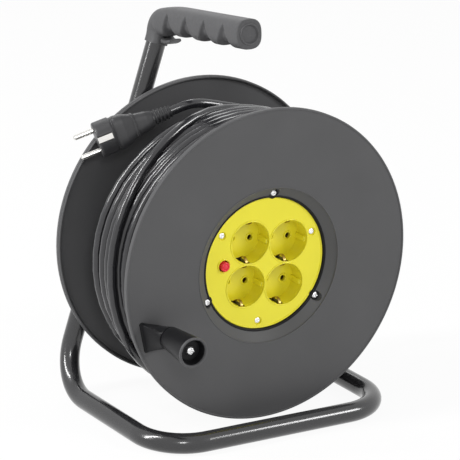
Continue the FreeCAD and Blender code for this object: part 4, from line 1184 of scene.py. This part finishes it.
@dataclass(frozen=True)
class Plug:
    """The moulded earthed plug: a round head with strip grooves, side wings, a neck and a ribbed relief."""

    place: PlugPlace = PlugPlace()
    length: float = 70.5
    head_radius: float = 16.5
    head_edge: float = 0.5
    groove_start: float = 56.5
    groove_half: float = 3.6
    groove_edge: float = 0.5
    strip_floor: float = 13.5
    relief_start: float = -1.0
    relief_end: float = 17.5
    relief_radius: float = 4.9
    relief_taper: float = 1.8
    ribs: int = 5
    rib_height: float = 1.2
    rib_lead: float = 0.08
    rib_power: float = 0.6
    rib_stop: float = 0.97

    def _loft(self, name: str, along: Array, sections: Array, crease: float) -> bpy.types.Object:
        """Skins sections of (rows, columns, 2) at places along the plug."""
        grid = np.concatenate([sections, np.broadcast_to(along[:, None, None], (*sections.shape[:2], 1))], -1)
        return skin(name, self.place.on_drum(grid), Body.DRUM, capped=True, crease=crease)

    def shell(self) -> bpy.types.Object:
        """Lofts the body through stations of place, half width, half thickness and squareness.

        The stations are joined smoothly, and over the head a groove of the earth strip's width is pressed in
        on both flat sides, to the strip's floor.

        Returns:
            The shell.
        """
        end, head, edge = self.length, self.head_radius, self.head_radius - self.head_edge
        stations = np.array([
            (15.5, 6.6, 6.6, 2.0), (17.0, 7.6, 7.4, 2.4), (22.0, 9.0, 8.4, 3.2),
            (32.4, 10.6, 9.2, 3.6), (33.2, 11.7, 10.4, 3.6), (34.6, 12.2, 10.8, 3.6),
            (35.4, 11.6, 10.2, 3.6), (40.0, 13.2, 11.0, 4.0), (44.0, 14.8, 11.8, 4.2),
            (50.5, 15.6, 12.2, 4.2), (52.6, 15.2, 12.0, 4.0), (54.2, 15.2, 14.4, 2.4),
            (55.6, head, head, 2.0), (end - 1.5, head, head, 2.0), (end - 0.4, edge, edge, 2.0),
            (end, 15.2, 15.2, 2.0), (end, 11.0, 11.0, 2.0),
        ])
        steps = run_lengths(stations[:, :3])
        wanted = np.unique(np.concatenate([steps, np.linspace(0, steps[-1], 90)]))
        along, wide, thick, power = (np.interp(wanted, steps, stations[:, column]) for column in range(4))
        points = superellipse(full_turn(144)[None], wide[:, None], thick[:, None], power[:, None])
        near_strip = smooth((self.groove_half - np.abs(points[..., 0])) / self.groove_edge)
        groove = near_strip * (along[:, None] > self.groove_start)
        rise = np.abs(points[..., 1])
        sunk = rise + groove * (np.minimum(rise, self.strip_floor) - rise)
        points[..., 1] = np.sign(points[..., 1]) * sunk
        return self._loft("plug_shell", along, points, 38.0)

    def relief(self) -> bpy.types.Object:
        """Lofts the tapered relief.

        Its radius is start + taper * s + height * max(cos(2 pi (s * ribs + lead)), 0)^power, the last part up
        to the stop only, where s is the share of its length.

        Returns:
            The relief.
        """
        along = np.linspace(self.relief_start, self.relief_end, 140)
        share = (along - self.relief_start) / (self.relief_end - self.relief_start)
        wave = np.clip(np.cos(2 * math.pi * (share * self.ribs + self.rib_lead)), 0, 1) ** self.rib_power
        ribs = self.rib_height * wave * (share < self.rib_stop)
        radius = self.relief_radius + self.relief_taper * share + ribs
        angle = full_turn(48)[None]
        points = radius[:, None, None] * np.stack([np.cos(angle), np.sin(angle)], -1)
        return self._loft("plug_relief", along, points, 40.0)

    def build(self, dresser: Dresser) -> list[bpy.types.Object | str]:
        """Makes and dresses the plug's pieces.

        Args:
            dresser: gives the finish.

        Returns:
            The pieces and nodes that go with the cord.
        """
        shell, relief = self.shell(), self.relief()
        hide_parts("plug_body")
        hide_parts("plug_strain_relief")
        for piece in (shell, relief):
            dresser.dress(piece, "plug_rubber")
        return [shell, relief, "plug_pins", "plug_earth_strips"]


@dataclass(frozen=True)
class Crank:
    """The crank: a wedge-footed stem, a hollow-ended turning knob, its ring, shoulder screw and washer."""

    centre: Spot = (-108.305, -52.824)
    foot: tuple[Spot, ...] = (
        (-18.4, 8.4), (-18.8, 4.2), (-11.3, -20.1), (2.0, -15.5), (8.0, -9.5), (8.6, -3.5), (3.0, 3.4),
    )
    foot_round: float = 1.6
    foot_face: float = -69.0
    stem_taper: float = 22.0
    neck: float = 10.4
    ridge_angles: Spot = (163.0, 150.0)
    ridge_width: float = 3.0
    ridge_stop: float = 0.84
    ridge_fade: float = 0.08
    ridge: float = 0.9
    grip_end: float = -130.6
    seat: float = -123.3
    screw: PanScrew = PanScrew(head_radius=4.4, head_height=3.4, shank_radius=3.5, shank_end=-77.4)

    def _foot_radius(self, angle: Array) -> Array:
        """Works out the foot's outline through the listed corners, rounded.

        Args:
            angle: angles about the knob's axis, in radians.

        Returns:
            The outline's distance from the axis at each angle.
        """
        outline = eased(self.foot, self.foot_round, 5)
        line = np.vstack([outline, outline[:1]])
        fine = spaced(np.hstack([line, np.zeros((len(line), 1))]), 0.1)
        bearing = np.arctan2(fine[:, 1], fine[:, 0])
        return np.interp(angle, bearing, np.hypot(fine[:, 0], fine[:, 1]), period=2 * math.pi)

    def _stem(self) -> bpy.types.Object:
        """Lofts the stem from its wedge foot near the rim to its round neck.

        The radius goes evenly from the foot's outline to the neck's circle, and a thin ridge
        h * exp(-(a / width)^2) runs down the rim side and fades out before the neck, where a is the angle to
        the ridge in degrees.

        Returns:
            The stem.
        """
        y = np.concatenate([[-68.6, -69.9, -70.3, -70.6], np.linspace(-71.2, -90.3, 28), [-90.8, -91.0]])
        extra = np.concatenate([[0.6, 0.6, 0.4, 0.1], np.zeros(28), [-0.2, -0.7]])[:, None]
        share = np.clip((self.foot_face - y) / self.stem_taper, 0, 1)[:, None]
        angle = full_turn(240)[None, :]
        radius = self._foot_radius(angle) * (1 - share) + self.neck * share + extra
        low, high = self.ridge_angles
        away = np.degrees(angle) - (low + (high - low) * share)
        fading = 1 - smooth((share - self.ridge_stop) / self.ridge_fade)
        radius = radius + self.ridge * np.exp(-((away / self.ridge_width) ** 2)) * fading
        grid = about(self.centre, radius, y[:, None], angle)
        return skin("crank_foot", grid, Body.DRUM, capped=True, crease=32.0)

    def _knob(self) -> bpy.types.Object:
        """Turns the knob: a flared grip with a beaded rim round its hollow end and a bore for the screw.

        Returns:
            The knob.
        """
        end, seat = self.grip_end, self.seat
        outline = np.array([
            (3.6, -91.3), (9.2, -91.3), (9.9, -91.6), (10.4, -92.4), (10.7, -95.0), (11.0, -100.0),
            (11.5, -106.0), (12.1, -113.0), (12.8, -121.0), (13.2, -126.0), (13.4, end + 1.0), (13.45, end),
            (11.4, end), (11.1, -126.5), (10.7, seat - 0.6), (10.4, seat), (3.6, seat),
        ])
        return turned("crank_grip", outline, Body.KNOB, self.centre, crease=40.0)

    def _ring(self) -> bpy.types.Object:
        """Turns the rounded ring on the knob's end.

        Returns:
            The ring.
        """
        end = self.grip_end
        outline = np.array([
            (11.35, end + 0.4), (13.5, end + 0.4), (13.7, end - 0.2), (13.6, end - 1.0), (13.2, end - 1.5),
            (12.5, end - 1.7), (11.8, end - 1.4), (11.4, end - 0.8),
        ])
        return turned("crank_highlight_ring", outline, Body.KNOB, self.centre, crease=60.0)

    def _washer(self) -> bpy.types.Object:
        """Turns the washer that lies between the knob and the screw's head.

        Returns:
            The washer.
        """
        seat, face = self.seat, self.seat - 1.0
        outline = np.array([(3.5, seat), (9.4, seat), (9.4, seat - 0.6), (9.0, face), (3.5, face)])
        return turned("crank_disc", outline, Body.DRUM, self.centre, segments=64)

    def build(self, dresser: Dresser) -> None:
        """Makes and dresses the crank's pieces.

        Args:
            dresser: gives the pieces their finishes.
        """
        stem, knob, ring = self._stem(), self._knob(), self._ring()
        screw = self.screw.build("crank_pin", self.centre, self.seat - 1.0, Body.DRUM)
        washer = self._washer()
        # the ring is the knob's own dark plastic; its lighter grip finish is a painted highlight round the
        # knob's rim
        dresser.dress(ring, "grip_plastic")
        for piece, node, slot in (
            (stem, "crank_stem", "inner_plastic"), (knob, "crank_knob", "inner_plastic"),
            # the washer's near-black finish is painted shade for the knob's hollow end
            (screw, "crank_screw", "zinc_steel"), (washer, "knob_washer", "inner_plastic"),
        ):
            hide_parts(node)
            dresser.dress(piece, slot)


@dataclass(frozen=True)
class SocketFace:
    """What the socket plate shows close up: painted shade rings, lips, guide ribs, collars, earth springs and
    screws.
    """

    face: float = -60.0
    floor: float = -42.5
    middle: Spot = (3.0, -0.6)
    pitch: float = 40.5
    pin_offset: float = 9.5
    recess: float = 19.5
    spring_half: Spot = (0.45, 1.5)
    slot_half: Spot = (3.3, 0.55)
    rib_half: Spot = (2.2, 2.6)
    button: Spot = (-42.4, -0.6)
    button_height: float = 4.0
    rim_circle: float = 66.0
    rim_angles: tuple[float, ...] = (90.0, -30.0, -150.0)
    rim_seat: float = 0.95
    rim_screw: PanScrew = PanScrew(head_radius=3.5, head_height=2.2, shank_radius=1.9, shank_end=-30.5)
    plate_circle: float = 54.5
    plate_angles: tuple[float, ...] = (150.0, 30.0, -90.0)
    plate_seat: float = -1.6
    plate_screw: PanScrew = PanScrew(head_radius=3.0, head_height=1.15, shank_radius=1.6, shank_end=-42.4)

    def _centres(self) -> list[Spot]:
        """The four recesses' middles, the upper row first."""
        x, z = self.middle
        return [(x + side * self.pitch / 2, z + row * self.pitch / 2) for row in (1, -1) for side in (-1, 1)]

    def _ring(self, outline: Array, centre: Spot, segments: int) -> bpy.types.Object:
        """One ring on the drum, to be joined with others."""
        return turned("ring", outline, Body.DRUM, centre, segments, crease=50.0)

    def _shade_rings(self) -> bpy.types.Object:
        """Makes a black ring between plate and flange, painted shade for the gap there, and dark rings round
        the rim screws, painted shade in their wells.

        Returns:
            The painted shade rings as one piece.
        """
        edge, seat = self.face, self.face - self.rim_seat
        outline = np.array([
            (61.45, edge + 0.9), (61.45, edge - 1.0), (61.8, edge - 1.9), (62.4, edge - 2.5),
            (63.3, edge - 2.6), (63.8, edge - 2.2), (63.8, edge + 0.9),
        ])
        screw_well_shade = np.array([(3.1, edge + 0.2), (3.1, seat), (5.5, seat), (5.9, edge - 0.7), (6.0, edge + 0.2)])
        rings = [self._ring(outline, (0.0, 0.0), 180)]
        rings += [self._ring(screw_well_shade, place, 48) for place in spots(self.rim_circle, self.rim_angles)]
        return gathered("painted_shade_rings", rings, Body.DRUM)

    def _rib(self, x: float, z: float) -> bpy.types.Object:
        """Makes one guide rib on a recess's side wall, chamfered at the mouth.

        Args:
            x: the rib's middle.
            z: the recess's middle.

        Returns:
            The rib.
        """
        y = np.array([self.floor + 0.2, self.floor - 13.0, self.floor - 14.6, self.floor - 15.2])
        size = np.array([1.0, 1.0, 0.75, 0.4])[:, None]
        half_width, half_height = self.rib_half
        flat = superellipse(full_turn(32)[None], half_width * size, half_height * (0.7 + 0.3 * size), 5.0)
        return skin("rib", set_along_y(flat, (x, z), y), Body.DRUM, capped=True)

    def _trim(self) -> bpy.types.Object:
        """Makes the yellow relief: edge bead, socket lips, guide ribs, pin collars and the button's guard.

        Returns:
            The relief as one piece.
        """
        edge, floor = self.face, self.floor
        parts = [self._ring(bead(60.7, edge, 0.75), (0.0, 0.0), 180)]
        collar = np.array([
            (2.85, floor + 0.3), (2.85, floor - 0.7), (3.15, floor - 1.0), (3.9, floor - 1.0),
            (4.25, floor - 0.6), (4.25, floor + 0.3),
        ])
        for x, z in self._centres():
            parts.append(self._ring(bead(20.0, edge + 0.05, 0.75), (x, z), 120))
            for side in (-1, 1):
                parts.append(self._ring(collar, (x + side * self.pin_offset, z), 40))
                parts.append(self._rib(x + side * (self.recess + 0.2), z))
        guard = np.array([
            (5.4, edge + 0.5), (5.4, edge - 0.6), (5.7, edge - 0.95), (6.3, edge - 0.95), (6.7, edge - 0.5),
            (6.8, edge + 0.5),
        ])
        parts.append(self._ring(guard, self.button, 64))
        return gathered("socket_trim", parts, Body.DRUM)

    def _springs(self) -> bpy.types.Object:
        """Makes the earth springs: bent strips that arch out of the top and bottom wall of every recess.

        Returns:
            The springs as one piece.
        """
        depth = np.array([0.3, 1.5, 4.0, 7.0, 9.5, 11.5, 13.0, 14.0, 14.6, 14.5, 13.9])
        inward = np.array([0.2, 0.9, 2.6, 4.0, 4.3, 3.6, 2.4, 1.3, 0.3, -0.6, -1.0])

        def section(_: Array, angle: Array) -> Array:
            """A thin flat bar with rounded edges."""
            return superellipse(angle, *self.spring_half, 4.0)

        strips = []
        for x, z in self._centres():
            for side in (-1, 1):
                wall = z + side * (self.recess - inward)
                path = spaced(np.stack([np.full(len(depth), x), self.floor - depth, wall], -1), 0.7)
                strips.append(swept("strip", path, section, Body.DRUM, np.array([1.0, 0.0, 0.0]), sides=20))
        return gathered("earth_springs", strips, Body.DRUM)

    def _slot_shade(self) -> bpy.types.Object:
        """Makes dark blocks in the recess walls behind the earth springs, painted shade for the slots there.

        Returns:
            The painted slot shade as one piece.
        """
        y = np.array([self.floor - 0.4, self.floor - 14.8])
        half_width, half_height = self.slot_half
        flat = superellipse(full_turn(24)[None], np.full((len(y), 1), half_width), half_height, 8.0)
        walls = [(x, z + side * (self.recess + 0.15)) for x, z in self._centres() for side in (-1, 1)]
        parts = [skin("slot", set_along_y(flat, wall, y), Body.DRUM, capped=True) for wall in walls]
        return gathered("earth_slot_shade", parts, Body.DRUM)

    def _button(self) -> bpy.types.Object:
        """Turns the reset button: a domed crown inside a rounded collar, on its post.

        Returns:
            The button.
        """
        top = self.face - self.button_height
        outline = np.array([
            (0.0, top - 0.3), (1.0, top - 0.25), (1.9, top + 0.05), (2.3, top + 0.5), (2.6, top + 0.75),
            (2.9, top + 0.3), (3.4, top + 0.1), (3.9, top + 0.35), (4.25, top + 0.9), (4.35, top + 1.6),
            (4.35, top + 9.9), (0.0, top + 9.9),
        ])
        return turned("button_cap", outline, Body.BUTTON, self.button, segments=64, crease=60.0)

    def _screws(self, name: str, screw: PanScrew, places: Sequence[Spot], seat: float) -> bpy.types.Object:
        """A set of like screws, their seat measured outwards from the plate's face."""
        pieces = [screw.build("screw", place, self.face - seat, Body.DRUM) for place in places]
        return gathered(name, pieces, Body.DRUM)

    def build(self, dresser: Dresser) -> None:
        """Makes and dresses everything on the socket plate.

        Args:
            dresser: gives the pieces their finishes.
        """
        rim_places = spots(self.rim_circle, self.rim_angles)
        plate_places = spots(self.plate_circle, self.plate_angles)
        rim = self._screws("rim_screw_heads", self.rim_screw, rim_places, self.rim_seat)
        low = self._screws("plate_screw_heads", self.plate_screw, plate_places, self.plate_seat)
        button = self._button()
        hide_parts("rim_screws")
        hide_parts("plate_screws")
        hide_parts("reset_button")
        for piece, slot in (
            (rim, "zinc_steel"), (low, "zinc_steel"), (button, "button_red"),
            # the black ring round the plate and the dark rings round the rim screws are painted shade
            (self._shade_rings(), "inner_plastic"), (self._trim(), "plate_yellow"),
            # the dark blocks behind the earth springs are painted shade for their slots
            (self._springs(), "contact_brass"), (self._slot_shade(), "inner_plastic"),
        ):
            dresser.dress(piece, slot)


@dataclass(frozen=True)
class FlangeTrim:
    """The rolled beads on both flanges' edges and round the dish.

    Each is its ring's radius, its place along the axle, its own radius and the points round the ring.
    """

    beads: tuple[tuple[float, float, float, int], ...] = (
        (143.9, -68.6, 1.15, 240), (72.6, -68.75, 0.7, 180), (143.9, 63.0, 1.15, 240),
    )

    def build(self, dresser: Dresser) -> None:
        """Makes and dresses the beads."""
        rings = [
            turned("ring", bead(ring, y, radius), Body.DRUM, segments=segments, crease=60.0)
            for ring, y, radius, segments in self.beads
        ]
        dresser.dress(gathered("flange_beads", rings, Body.DRUM), "drum_plastic")


def main() -> None:
    """Builds the dressed reel in order."""
    logging.basicConfig(level=logging.INFO, format="%(name)s: %(message)s")
    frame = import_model()
    dresser = Dresser(frame)
    Studio().build()
    log.info("studio ready")
    Winding().build(dresser, Plug().build(dresser))
    log.info("cord wound")
    for builder in (Grip(), Crank(), SocketFace(), FlangeTrim()):
        builder.build(dresser)
        log.info("%s done", type(builder).__name__)


if __name__ == "__main__":
    main()
